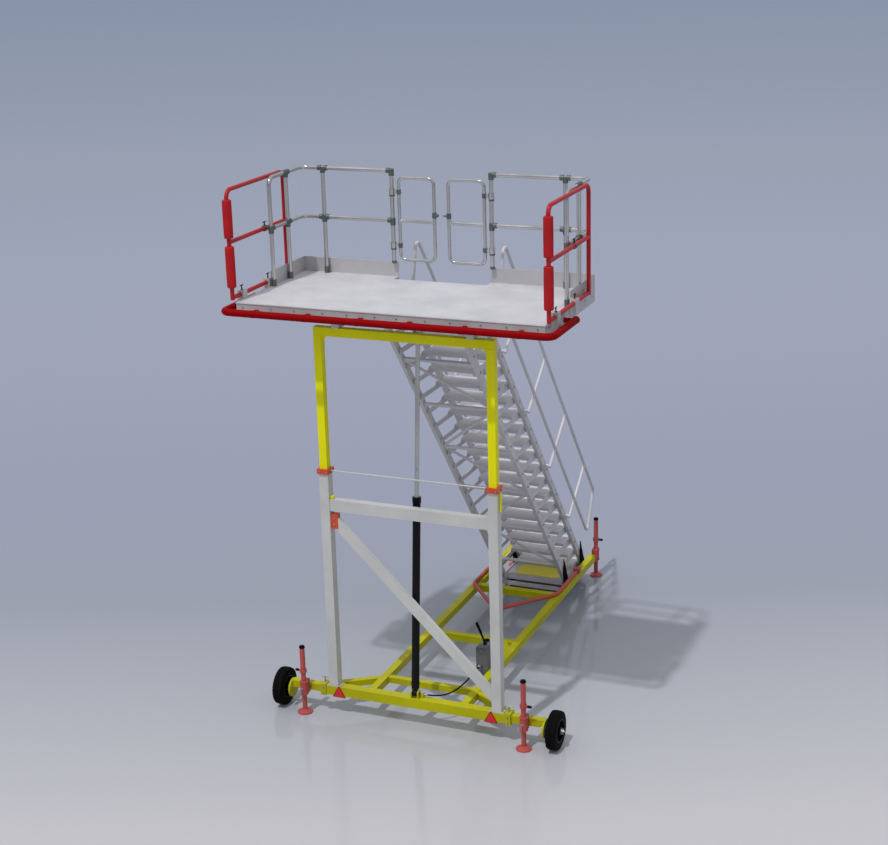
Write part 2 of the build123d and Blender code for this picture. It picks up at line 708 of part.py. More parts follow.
with BuildPart() as cylinder_rod:
    rod(on_lift(BARREL_L - ROD_IN), on_lift(LIFT_RUN.length), ROD_D)
    rod(on_lift(BARREL_L - ROD_IN), on_lift(BARREL_L - ROD_IN + PISTON_L), BARREL_BORE - 2 * GAP)
    rod((-EYE_W / 2, EYE_Y, EYE_Z), (EYE_W / 2, EYE_Y, EYE_Z), EYE_D)
save(cylinder_rod, "cylinder_rod")

# Inner mast: telescoping posts with guide pads, under the yellow cross beam
with BuildPart() as inner_mast:
    for side in SIDES:
        block(
            (side * POST_X - INNER / 2, -INNER / 2, INNER_FOOT),
            (side * POST_X + INNER / 2, INNER / 2, MAST_BEAM_Z),
        )
        pad = POST / 2 - POST_WALL - GAP
        block(
            (side * POST_X - pad, -pad, INNER_FOOT),
            (side * POST_X + pad, pad, INNER_FOOT + PAD_H),
        )
    block(
        (-POST_X - INNER / 2, -INNER / 2, MAST_BEAM_Z),
        (POST_X + INNER / 2, INNER / 2, MAST_BEAM_Z + MAST_BEAM_H),
    )
save(inner_mast, "inner_mast")

# Deck frame: rim, joists, bearers on the mast beam, cylinder ears and guard runners
with BuildPart() as deck_frame:
    with BuildSketch(Plane.XY.offset(FRAME_BOTTOM)) as rim_section:
        with BuildLine():
            Polyline(
                (-DECK_HALF, DECK_FRONT),
                (DECK_HALF, DECK_FRONT),
                (DECK_HALF, DECK_REAR),
                (NOTCH_HALF, DECK_REAR),
                (NOTCH_HALF, NOTCH_Y),
                (-NOTCH_HALF, NOTCH_Y),
                (-NOTCH_HALF, DECK_REAR),
                (-DECK_HALF, DECK_REAR),
                close=True,
            )
        make_face()
        offset(amount=-FRAME_W, kind=Kind.INTERSECTION, mode=Mode.SUBTRACT)
    extrude(rim_section.sketch, amount=FRAME_H)
    for y in JOIST_Y:
        block((-DECK_HALF, y - JOIST_W / 2, FRAME_BOTTOM), (DECK_HALF, y + JOIST_W / 2, FRAME_TOP))
    for side in SIDES:
        block(
            (side * BEARER_X - FRAME_W / 2, -INNER / 2, MAST_BEAM_Z + MAST_BEAM_H),
            (side * BEARER_X + FRAME_W / 2, NOTCH_Y, FRAME_BOTTOM),
        )
        ear = EYE_W / 2 + EAR_GAP
        with BuildSketch(Plane.YZ.offset(side * (ear + EAR_T / 2) - EAR_T / 2)) as hanger_face:
            with Locations((EYE_Y, EYE_Z)):
                Circle(EYE_D / 2)
            with Locations((EYE_Y, (EYE_Z + FRAME_BOTTOM) / 2)):
                Rectangle(EYE_D, FRAME_BOTTOM - EYE_Z)
        extrude(hanger_face.sketch, amount=EAR_T)
        for y in RUNNER_Y:
            x_from, x_to = sorted((side * DECK_HALF, side * (SLIDE_X + RUNNER_OUT)))
            block(
                (x_from, y - RUNNER_L / 2, FRAME_TOP - FRAME_H / 2),
                (x_to, y + RUNNER_L / 2, DECK_Z + RUNNER_TOP),
            )
            rod(
                (side * SLIDE_X, y - RUNNER_L, SLIDE_Z),
                (side * SLIDE_X, y + RUNNER_L, SLIDE_Z),
                RAIL_D + 2 * GAP,
                mode=Mode.SUBTRACT,
            )
save(deck_frame, "deck_frame")

# Deck plate with the stair opening
with BuildPart() as deck_plate:
    block((-DECK_HALF, DECK_FRONT, FRAME_TOP), (DECK_HALF, DECK_REAR, DECK_Z))
    with BuildSketch(Plane.XY.offset(FRAME_TOP)) as notch:
        with Locations((0, (NOTCH_Y + DECK_REAR) / 2)):
            Rectangle(2 * NOTCH_HALF, DECK_REAR - NOTCH_Y)
    extrude(notch.sketch, amount=PLATE_T, mode=Mode.SUBTRACT)
save(deck_plate, "deck_plate")

# Bumper bar round the front, on stand-offs
with BuildPart() as bumper:
    tube(
        (
            (-BUMPER_X, BUMPER_BACK, BUMPER_Z),
            (-BUMPER_X, BUMPER_Y, BUMPER_Z),
            (BUMPER_X, BUMPER_Y, BUMPER_Z),
            (BUMPER_X, BUMPER_BACK, BUMPER_Z),
        ),
        BUMPER_D,
        BUMPER_BEND,
    )
    for side in SIDES:
        for x in BUMPER_POST_X:
            bar((side * x, DECK_FRONT, BUMPER_Z), (side * x, BUMPER_Y, BUMPER_Z), BUMPER_POST, BUMPER_POST)
        y = BUMPER_BACK - BUMPER_POST
        bar((side * DECK_HALF, y, BUMPER_Z), (side * BUMPER_X, y, BUMPER_Z), BUMPER_POST, BUMPER_POST)
save(bumper, "bumper")

# Toe boards at the rear corners
with BuildPart() as toe_boards:
    for side in SIDES:
        x_from, x_to = sorted((side * (DECK_HALF - TOE_T), side * DECK_HALF))
        block((x_from, SIDE_GUARD_FRONT, DECK_Z), (x_to, DECK_REAR, DECK_Z + TOE_H))
        x_from, x_to = sorted((side * NOTCH_HALF, side * DECK_HALF))
        block((x_from, DECK_REAR - TOE_T, DECK_Z), (x_to, DECK_REAR, DECK_Z + TOE_H))
save(toe_boards, "toe_boards")

# Chrome guards: a bent frame and a middle rail on each side and at each half of the rear
with BuildPart() as side_guards:
    for side in SIDES:
        x = side * SIDE_GUARD_X
        tube(
            (
                (x, SIDE_GUARD_FRONT, DECK_Z),
                (x, SIDE_GUARD_FRONT, GUARD_TOP),
                (x, REAR_GUARD_Y, GUARD_TOP),
                (x, REAR_GUARD_Y, DECK_Z),
            ),
            RAIL_D,
            GUARD_BEND,
        )
        rod((x, SIDE_GUARD_FRONT, MID_Z), (x, REAR_GUARD_Y, MID_Z), RAIL_D)
save(side_guards, "side_guards")

with BuildPart() as rear_guards:
    for side in SIDES:
        tube(
            (
                (side * REAR_GUARD_OUT, REAR_GUARD_Y, DECK_Z),
                (side * REAR_GUARD_OUT, REAR_GUARD_Y, GUARD_TOP),
                (side * GATE_POST_X, REAR_GUARD_Y, GUARD_TOP),
                (side * GATE_POST_X, REAR_GUARD_Y, DECK_Z),
            ),
            RAIL_D,
            GUARD_BEND,
        )
        rod((side * REAR_GUARD_OUT, REAR_GUARD_Y, MID_Z), (side * GATE_POST_X, REAR_GUARD_Y, MID_Z), RAIL_D)
save(rear_guards, "rear_guards")

# Gate leaves hung on the inner posts of the rear guards
for side, name in zip(SIDES, ("left", "right")):
    with BuildPart() as gate:
        inner = side * (GATE_INNER + GATE_D / 2)
        outer = side * (GATE_OUTER - GATE_D / 2)
        low = DECK_Z + GATE_LOW + GATE_D / 2
        high = DECK_Z + GATE_HIGH - GATE_D / 2
        loop(
            (
                (inner, REAR_GUARD_Y, high),
                (outer, REAR_GUARD_Y, high),
                (outer, REAR_GUARD_Y, low),
                (inner, REAR_GUARD_Y, low),
            ),
            GATE_D,
            GATE_BEND,
        )
        rod((inner, REAR_GUARD_Y, MID_Z), (outer, REAR_GUARD_Y, MID_Z), GATE_D)
        for rise in KNUCKLE_Z:
            z = DECK_Z + rise
            rod(
                (side * GATE_POST_X, REAR_GUARD_Y, z - KNUCKLE_H / 2),
                (side * GATE_POST_X, REAR_GUARD_Y, z + KNUCKLE_H / 2),
                KNUCKLE_D,
            )
            bar((outer, REAR_GUARD_Y, z), (side * GATE_POST_X, REAR_GUARD_Y, z), GATE_D / 2, KNUCKLE_H / 2)
            rod(
                (side * GATE_POST_X, REAR_GUARD_Y, z - KNUCKLE_H),
                (side * GATE_POST_X, REAR_GUARD_Y, z + KNUCKLE_H),
                RAIL_D + 2 * RUN,
                mode=Mode.SUBTRACT,
            )
    save(gate, f"gate_{name}")

# Sliding side guards and the foam sleeves on their front posts
for side, name in zip(SIDES, ("left", "right")):
    x = side * SLIDE_X
    with BuildPart() as slide_guard:
        tube(
            (
                (x, SLIDE_FRONT, SLIDE_Z - RAIL_D / 2),
                (x, SLIDE_FRONT, GUARD_TOP),
                (x, SLIDE_REAR, GUARD_TOP),
                (x, SLIDE_REAR, SLIDE_Z - RAIL_D / 2),
            ),
            RAIL_D,
            GUARD_BEND,
        )
        for z in (SLIDE_Z, MID_Z):
            rod((x, SLIDE_FRONT, z), (x, SLIDE_REAR, z), RAIL_D)
    save(slide_guard, f"slide_guard_{name}")
    with BuildPart() as foam:
        for low, high in FOAM_SPANS:
            with BuildSketch(Plane.XY.offset(DECK_Z + low)) as sleeve:
                with Locations((x, SLIDE_FRONT)):
                    Circle(FOAM_D / 2)
                    Circle(RAIL_D / 2 + GAP, mode=Mode.SUBTRACT)
            extrude(sleeve.sketch, amount=high - low)
    save(foam, f"foam_sleeves_{name}")


def chord_frame(offset_y):
    """Add a pair of chords with a pivot pin for every step, set back by offset_y."""
    slope = radians(SLOPE)
    tip_y, tip_z = CHORD_TIP * cos(slope), CHORD_TIP * sin(slope)
    top_y, top_z = pivot(0)
    low_y, low_z = pivot(LAST)
    for side in SIDES:
        bar(
            (side * CHORD_X, top_y + offset_y - tip_y, top_z + tip_z),
            (side * CHORD_X, low_y + offset_y + tip_y, low_z - tip_z),
            CHORD_W,
            CHORD_H,
        )
        for step in range(RISERS):
            y, z = pivot(step)
            rod(
                (side * CHORD_X, y + offset_y, z),
                (side * (LINK_X - PIVOT_PROUD), y + offset_y, z),
                PIVOT_D,
            )


# Lower chords of the stair with their ladder tubes and lacing
with BuildPart() as stair_lower:
    chord_frame(0)
    half = CHORD_X
    for step in LADDER_STEPS:
        y, z = pivot(step)
        rod((-half, y, z), (half, y, z), LADDER_D)
    for number, (step, next_step) in enumerate(zip(LADDER_STEPS, LADDER_STEPS[1:])):
        turn = 1 if number % 2 else -1
        y, z = pivot(step)
        next_y, next_z = pivot(next_step)
        rod((turn * half, y, z), (-turn * half, next_y, next_z), LACING_D)
save(stair_lower, "stair_lower")

# Upper chords of the stair
with BuildPart() as stair_upper:
    chord_frame(LINK)
save(stair_upper, "stair_upper")

# Handrails: a closed loop on each side, with posts stubbed to the upper chords
with BuildPart() as handrails:
    for side in SIDES:
        x = side * HAND_X
        loop(
            (
                (x, *on_upper(HAND_TOP_U, HAND_V)),
                (x, *on_upper(HAND_LOW_U, HAND_V)),
                (x, *on_upper(HAND_LOW_MID_U, HAND_MID_V)),
                (x, *on_upper(HAND_TOP_MID_U, HAND_MID_V)),
            ),
            HAND_D,
            HAND_BEND,
        )
        for along in HAND_POSTS:
            rod((x, *on_upper(along, -HAND_D / 2)), (x, *on_upper(along, HAND_V)), HAND_D)
            stub = on_upper(along, 0)
            rod((side * (CHORD_X + CHORD_W / 2), *stub), (x, *stub), STUB_D)
save(handrails, "handrails")


def tread_plank(step):
    """Add a folded tread plank between its end links."""
    y, z = pivot(step)
    nose = y + LINK + TREAD_OVERHANG
    heel = nose - TREAD_DEPTH
    top = z + TREAD_LIFT
    side_plate(
        (
            (heel, top),
            (nose, top),
            (nose, top - TREAD_LIP),
            (nose - TREAD_T, top - TREAD_LIP),
            (nose - TREAD_T, top - TREAD_T),
            (heel + TREAD_T, top - TREAD_T),
            (heel + TREAD_T, top - TREAD_LIP),
            (heel, top - TREAD_LIP),
        ),
        -LINK_X,
        LINK_X,
    )


def drill_pivots(step):
    """Drill the running bores for a step's lower and upper pivot pins."""
    y, z = pivot(step)
    reach = LINK_X + LINK_T + LINK_T
    for offset_y in (0, LINK):
        for side in SIDES:
            rod(
                (side * (LINK_X - LINK_T), y + offset_y, z),
                (side * reach, y + offset_y, z),
                PIVOT_D + 2 * RUN,
                mode=Mode.SUBTRACT,
            )


# Fixed top step, on cheeks that hang the stair from the deck frame
with BuildPart() as stair_hanger:
    y, z = pivot(0)
    tread_plank(0)
    for side in SIDES:
        side_plate(
            (
                (y - HANGER_BACK, FRAME_BOTTOM),
                (y - HANGER_BACK, z - LINK_H / 2),
                (y + LINK + TREAD_OVERHANG, z - LINK_H / 2),
                (y + LINK + TREAD_OVERHANG, z + TREAD_LIFT),
                (NOTCH_Y, FRAME_BOTTOM),
            ),
            side * LINK_X,
            side * (LINK_X + LINK_T),
        )
    drill_pivots(0)
save(stair_hanger, "stair_hanger")

# Self-levelling treads: a folded plank on two end links that hang on all four chords
for step in range(1, LAST):
    with BuildPart() as tread:
        y, z = pivot(step)
        nose = y + LINK + TREAD_OVERHANG
        heel = nose - TREAD_DEPTH
        half = LINK_H / 2
        tread_plank(step)
        for side in SIDES:
            side_plate(
                (
                    (y - half, z - half),
                    (nose, z - half),
                    (nose, z + TREAD_LIFT),
                    (heel, z + TREAD_LIFT),
                    (heel - LINK_H, z + half),
                    (y - half, z + half),
                ),
                side * LINK_X,
                side * (LINK_X + LINK_T),
            )
        drill_pivots(step)
    save(tread, f"tread_{step:02d}")

# Rolling foot: cheeks, boxed foot step and cross bars
FOOT_Y, FOOT_Z = pivot(LAST)
FOOT_NOSE = FOOT_Y + LINK + TREAD_OVERHANG
FOOT_AXLES = {
    "front": FOOT_Y + FOOT_AXLE_IN,
    "rear": FOOT_Y + LINK - FOOT_AXLE_IN,
}
with BuildPart() as stair_foot:
    block(
        (-LINK_X, FOOT_NOSE - TREAD_DEPTH, FOOT_BOX_LOW),
        (LINK_X, FOOT_NOSE, FOOT_STEP_Z),
    )
    for side in SIDES:
        side_plate(
            (
                (FOOT_Y - LINK_H, FOOT_LOW),
                (FOOT_NOSE, FOOT_LOW),
                (FOOT_NOSE, FOOT_HIGH),
                (FOOT_Y - LINK_H, FOOT_HIGH),
            ),
            side * LINK_X,
            side * (LINK_X + LINK_T),
        )
        for y in FOOT_AXLES.values():
            rod(
                (side * (LINK_X - LINK_T), y, FOOT_WHEEL_R),
                (side * (LINK_X + 2 * LINK_T), y, FOOT_WHEEL_R),
                FOOT_AXLE_D + 2 * RUN,
                mode=Mode.SUBTRACT,
            )
    for y in (FOOT_Y, FOOT_Y + LINK):
        block(
            (-BOOT_X - BOOT_T, y - FOOT_BAR / 2, FOOT_BAR_Z - FOOT_BAR / 2),
            (BOOT_X + BOOT_T, y + FOOT_BAR / 2, FOOT_BAR_Z + FOOT_BAR / 2),
        )
    drill_pivots(LAST)
save(stair_foot, "stair_foot")

# Black triangular boots beside the chord ends
with BuildPart() as foot_boots:
    base = FOOT_BAR_Z + FOOT_BAR / 2
    for side in SIDES:
        for y in (FOOT_Y, FOOT_Y + LINK):
            side_plate(
                (
                    (y - BOOT_LEAN, base),
                    (y + FOOT_BAR, base),
                    (y - BOOT_LEAN, BOOT_TOP),
                ),
                side * BOOT_X,
                side * (BOOT_X + BOOT_T),
            )
save(foot_boots, "foot_boots")

# Foot wheels, a pair on each axle
for name, y in FOOT_AXLES.items():
    with BuildPart() as foot_axle:
        end = LINK_X + LINK_T + PIVOT_PROUD / 2
        rod((-end, y, FOOT_WHEEL_R), (end, y, FOOT_WHEEL_R), FOOT_AXLE_D)
        for side in SIDES:
            centre = side * FOOT_WHEEL_X
            rod(
                (centre - FOOT_WHEEL_W / 2, y, FOOT_WHEEL_R),
                (centre + FOOT_WHEEL_W / 2, y, FOOT_WHEEL_R),
                2 * FOOT_WHEEL_R,
            )
        treads = foot_axle.faces().filter_by(GeomType.CYLINDER).sort_by(SortBy.RADIUS)[-2:]
        fillet(treads.edges().filter_by(GeomType.CIRCLE), FOOT_WHEEL_ROUND)
    save(foot_axle, f"foot_wheels_{name}")
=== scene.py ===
"""Dressed scene of the variable-height access platform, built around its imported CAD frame.

Sizes below are millimetres from the mast line (y = 0) and the floor (z = 0), as in the part's source.
at() turns them into the frame's metres.
"""

import math

import bmesh
import bpy
from mathutils import Matrix, Vector


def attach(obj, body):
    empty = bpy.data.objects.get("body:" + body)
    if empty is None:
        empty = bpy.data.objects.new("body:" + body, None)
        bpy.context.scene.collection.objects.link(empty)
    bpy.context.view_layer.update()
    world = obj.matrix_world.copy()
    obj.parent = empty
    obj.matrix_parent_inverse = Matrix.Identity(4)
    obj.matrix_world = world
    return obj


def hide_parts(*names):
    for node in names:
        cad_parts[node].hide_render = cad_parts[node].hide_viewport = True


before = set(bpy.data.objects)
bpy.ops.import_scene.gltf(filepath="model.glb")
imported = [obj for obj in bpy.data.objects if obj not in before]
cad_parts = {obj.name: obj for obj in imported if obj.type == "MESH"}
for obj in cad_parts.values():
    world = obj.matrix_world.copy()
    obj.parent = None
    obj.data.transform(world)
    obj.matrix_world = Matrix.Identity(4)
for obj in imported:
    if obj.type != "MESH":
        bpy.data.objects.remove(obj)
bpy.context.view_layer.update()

ORIGIN_SHIFT = -1965.5  # the mast line's y in the frame
PER_METRE = 1000.0
BITE = 0.5  # how far a ring reaches into what it sits on
SIDES = (-1, 1)
NAMES = {-1: "left", 1: "right"}
UP, DOWN, FRONT, REAR = (0, 0, 1), (0, 0, -1), (0, -1, 0), (0, 1, 0)

# Chassis and mast
BEAM, BEAM_TOP, BEAM_HALF = 100, 310, 1050
BEAM_MID = BEAM_TOP - BEAM / 2
CLAMP, CLAMP_L = 124, 60
OUTRIGGER, OUTRIGGER_END = 76, 1390
RAIL_X, RAIL, RAIL_TOP = 510, 80, 300
RAIL_LOW = RAIL_TOP - RAIL
CROSS_Y = (1620, 3000)
POST_X, POST, POST_TOP, POST_FOOT = 900, 100, 2640, 322
COLLAR, COLLAR_H = 130, 50
INNER = 80
MAST_BEAM_Z, MAST_BEAM_H = 4060, 86
CROSS_Z, CROSS_H, CROSS_D = 2250, 120, 80
SHOE_W, SHOE_D, SHOE_Z = 75, 60, 2060
WHEEL_X, WHEEL_R, TYRE_W, RIM_R, DISC_T = 1504, 200, 110, 118, 12
CLEVIS_Z, EYE_Y, EYE_Z, EAR_OUT = 360, 350, 4030, 43
BARREL_L, BARREL_R, ROD_R = 2065, 40, 22.5
REFLECTOR_X, REFLECTOR_R, REFLECTOR_T = 840, 82, 8
JACK_R, JACK_TOP, JACK_COLLAR_TOP, JACK_HANDLE_Z, JACK_HANDLE_L = 25, 745, 489, 472, 80
SLEEVE_R, SLEEVE_LOW, SLEEVE_HIGH = 39, 205, 355
# Columns are x, y and the way in y that the jack's free side faces
JACKS = {
    "front_left": (-1212, -118, -1),
    "front_right": (1212, -118, -1),
    "rear_left": (-530, 4380, 1),
    "rear_right": (530, 4380, 1),
}

# Deck and guards
DECK_Z, DECK_HALF, DECK_FRONT, DECK_REAR = 4430, 1570, -390, 1070
FRAME_TOP, FRAME_BOTTOM, BEARER_X = 4410, 4310, 700
BUMPER_X, BUMPER_Z, BUMPER_R, BUMPER_BACK = 1674, 4350, 35, 180
BUMPER_POSTS = (250, 800, 1350)
RAIL_R, MID_Z, GUARD_TOP, GUARD_BEND = 21, 5010, 5509, 80
SIDE_GUARD_X, SIDE_GUARD_FRONT, SIDE_POST_Y = 1535, 330, 690
REAR_GUARD_Y, REAR_POST_X, GATE_POST_X, GATE_POST_LOW = 1030, 1290, 530, 4580
GATE_R, GATE_STILE, KNUCKLES = 17, 77, (330, 870)
SLIDE_X, SLIDE_FRONT, RUNNER_Y, RUNNER_TOP = 1607, -389, (-200, 340), 4510

# Stair
RISERS, SLOPE, LINK = 20, math.radians(51.2), 620
FOOT_STEP_Z, TREAD_LIFT, TREAD_DEPTH, TREAD_NOSE, TREAD_HALF = 250, 60, 290, 650, 360
CHORD_OUT, CHEEK_OUT = 420, 370
HAND_X, HAND_R, HAND_MID_V, HAND_POSTS = 480, 17, 235, (700, 1783, 2866, 3949)
RISE = (DECK_Z - FOOT_STEP_Z) / RISERS
GOING = RISE / math.tan(SLOPE)
LAST = RISERS - 1
TOP_PIVOT = (420, DECK_Z - RISE - TREAD_LIFT)


def pivot(step):
    """Lower pivot (y, z) of a step, counted down from the fixed top step."""
    return TOP_PIVOT[0] + step * GOING, TOP_PIVOT[1] - step * RISE


def on_upper(along, square):
    """Point (y, z) along the upper chord from its top pivot and square to it."""
    y = TOP_PIVOT[0] + LINK + along * math.cos(SLOPE) + square * math.sin(SLOPE)
    z = TOP_PIVOT[1] - along * math.sin(SLOPE) + square * math.cos(SLOPE)
    return y, z


def at(x, y, z):
    """Point of the part's source in the frame's metres."""
    return Vector((x, y + ORIGIN_SHIFT, z)) / PER_METRE


# Materials

def linear(red, green, blue):
    """Colour written as 0-255 screen values, as the shader's linear values."""
    out = []
    for value in (red, green, blue):
        share = value / 255.0
        out.append(share / 12.92 if share <= 0.04045 else ((share + 0.055) / 1.055) ** 2.4)
    return (*out, 1.0)


CLOUD_DETAIL, CLOUD_ROUGH, GRAIN_DETAIL = 6.0, 0.62, 3.0
NOISE_LOW, NOISE_HIGH = 0.3, 0.7
GLOSS_SPREAD, GLOSS_LEAST, COAT_ROUGH = 0.09, 0.02, 0.12


def add(tree, kind, **values):
    """New shader node with some inputs set; an underscore in an input's name stands for a space."""
    node = tree.nodes.new(f"ShaderNode{kind}")
    for socket, value in values.items():
        node.inputs[socket.replace("_", " ")].default_value = value
    return node


def ramp(tree, stops):
    """Colour ramp through stops, each a place from 0 to 1 and a colour in 0-255 screen values."""
    node = add(tree, "ValToRGB")
    elements = node.color_ramp.elements
    for element, (spot, colour) in zip((elements[0], elements[-1]), (stops[0], stops[-1])):
        element.position, element.color = spot, linear(*colour)
    for spot, colour in stops[1:-1]:
        elements.new(spot).color = linear(*colour)
    return node


def surface(name, colour, dirt, rough, metal=0.0, patch=1.6, grain=180.0, bump=0.15, depth=0.0006,
            spread=0.35, streak=None, coat=0.0, specular=0.5):
    """Material with cloudy colour, uneven gloss and a fine grain.

    streak stretches the grain along an axis.
    """
    made = bpy.data.materials.new(name)
    made.use_nodes = True
    tree = made.node_tree
    tree.nodes.clear()
    out = add(tree, "OutputMaterial")
    shader = add(tree, "BsdfPrincipled", Metallic=metal, Coat_Weight=coat, Coat_Roughness=COAT_ROUGH,
                 Specular_IOR_Level=specular)
    place = add(tree, "TexCoord").outputs["Object"]
    cloud = add(tree, "TexNoise", Scale=patch, Detail=CLOUD_DETAIL, Roughness=CLOUD_ROUGH)
    tint = ramp(tree, ((0.5 - spread / 2, dirt), (0.5 + spread / 2, colour)))
    fine = add(tree, "TexNoise", Scale=grain, Detail=GRAIN_DETAIL)
    gloss = add(tree, "MapRange", From_Min=NOISE_LOW, From_Max=NOISE_HIGH,
                To_Min=max(rough - GLOSS_SPREAD, GLOSS_LEAST), To_Max=min(rough + GLOSS_SPREAD, 1.0))
    dents = add(tree, "Bump", Strength=bump, Distance=depth)
    link = tree.links.new
    link(place, cloud.inputs["Vector"])
    if streak:
        stretch = add(tree, "Mapping", Scale=streak)
        link(place, stretch.inputs["Vector"])
        place = stretch.outputs["Vector"]
    link(place, fine.inputs["Vector"])
    link(cloud.outputs["Fac"], tint.inputs["Fac"])
    link(tint.outputs["Color"], shader.inputs["Base Color"])
    link(cloud.outputs["Fac"], gloss.inputs["Value"])
    link(gloss.outputs["Result"], shader.inputs["Roughness"])
    link(fine.outputs["Fac"], dents.inputs["Height"])
    link(dents.outputs["Normal"], shader.inputs["Normal"])
    link(shader.outputs["BSDF"], out.inputs["Surface"])
    return made


YELLOW = surface("yellow_enamel", (244, 241, 0), (230, 226, 0), 0.42, grain=420, bump=0.08, specular=0.2)
CHASSIS_YELLOW = surface("chassis_yellow_enamel", (190, 186, 0), (172, 167, 0), 0.45, grain=420,
                         bump=0.1, specular=0.2)
WHITE = surface("white_enamel", (206, 206, 203), (190, 190, 186), 0.38, grain=420, bump=0.08, coat=0.2)
ORANGE = surface("orange_enamel", (222, 84, 40), (196, 66, 32), 0.4, grain=420, bump=0.1)
GUARD_RED = surface("guard_red_enamel", (184, 28, 34), (166, 22, 28), 0.36, grain=420, bump=0.08,
                    specular=0.3)
JACK_RED = surface("jack_red_enamel", (192, 86, 82), (172, 74, 71), 0.45, grain=380, bump=0.12,
                   specular=0.3)
BUMPER_RED = surface("bumper_red", (150, 0, 6), (134, 0, 5), 0.6, grain=300, bump=0.18, specular=0.06)
CHROME = surface("chrome_tube", (206, 206, 204), (178, 178, 176), 0.2, metal=1.0, grain=60, bump=0.05)
FITTING = surface("galvanised_fitting", (120, 128, 124), (92, 100, 98), 0.5, metal=0.8, patch=40,
                  grain=500, bump=0.2)
STAIR = surface("mill_aluminium", (214, 211, 214), (198, 195, 199), 0.42, metal=0.08, patch=2.4,
                grain=90, streak=(1.0, 14.0, 14.0), bump=0.1)
DECK = surface("deck_sheet", (212, 211, 214), (196, 195, 199), 0.5, metal=0.1, patch=3.0, grain=55,
               bump=0.35, depth=0.0012)
FASCIA = surface("deck_profile", (198, 196, 197), (180, 178, 180), 0.4, metal=0.2, patch=2.0, grain=90,
                 streak=(14.0, 1.0, 14.0), bump=0.1)
STEEL = surface("bright_steel", (196, 196, 196), (160, 160, 162), 0.3, metal=0.9, patch=30, grain=400,
                bump=0.1)
PUMP = surface("pump_grey", (110, 112, 116), (88, 90, 94), 0.5, grain=260, bump=0.25)
BLACK = surface("black_enamel", (9, 9, 10), (5, 5, 6), 0.4, grain=300, bump=0.1, specular=0.2)
RUBBER = surface("black_rubber", (9, 9, 9), (5, 5, 5), 0.8, grain=700, bump=0.25, specular=0.12)
FOAM = surface("red_foam", (192, 28, 32), (168, 20, 26), 0.86, patch=6.0, grain=900, bump=0.5,
               depth=0.001, specular=0.3)
LENS = surface("reflector_red", (226, 22, 30), (196, 12, 20), 0.22, patch=20, grain=260, bump=0.35,
               coat=0.4)
# The foot plate is yellow paint, but its pale, brightened tone is painted light: the sunlit sheen of its
# top, which lies in the stair's shade
LIT_FOOT_YELLOW = surface("foot_step_yellow_painted_light", (255, 246, 84), (240, 228, 70), 0.5, grain=240, bump=0.3)

# Materials by the start of a node's name; the stair's own pieces take STAIR
NODE_LOOKS = {
    "chassis_frame": CHASSIS_YELLOW, "axle_stubs": STEEL, "jack_": JACK_RED, "reflectors": LENS,
    "pump_unit": PUMP, "pump_lever": BLACK, "pump_hose": RUBBER, "drawbar": JACK_RED,
    "outer_posts": WHITE, "post_collars": ORANGE, "mast_braces": WHITE, "tyre_": RUBBER,
    "wheel_rim_": BLACK, "cylinder_barrel": BLACK, "cylinder_rod": CHROME, "inner_mast": YELLOW,
    "deck_frame": FASCIA, "deck_plate": DECK, "bumper": BUMPER_RED, "toe_boards": FASCIA,
    "side_guards": CHROME, "rear_guards": CHROME, "gate_": CHROME, "slide_guard_": GUARD_RED,
    "foam_sleeves_": FOAM, "foot_": RUBBER,
}
for node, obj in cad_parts.items():
    look = next((look for start, look in NODE_LOOKS.items() if node.startswith(start)), STAIR)
    obj.data.materials.clear()
    obj.data.materials.append(look)


# Mesh building

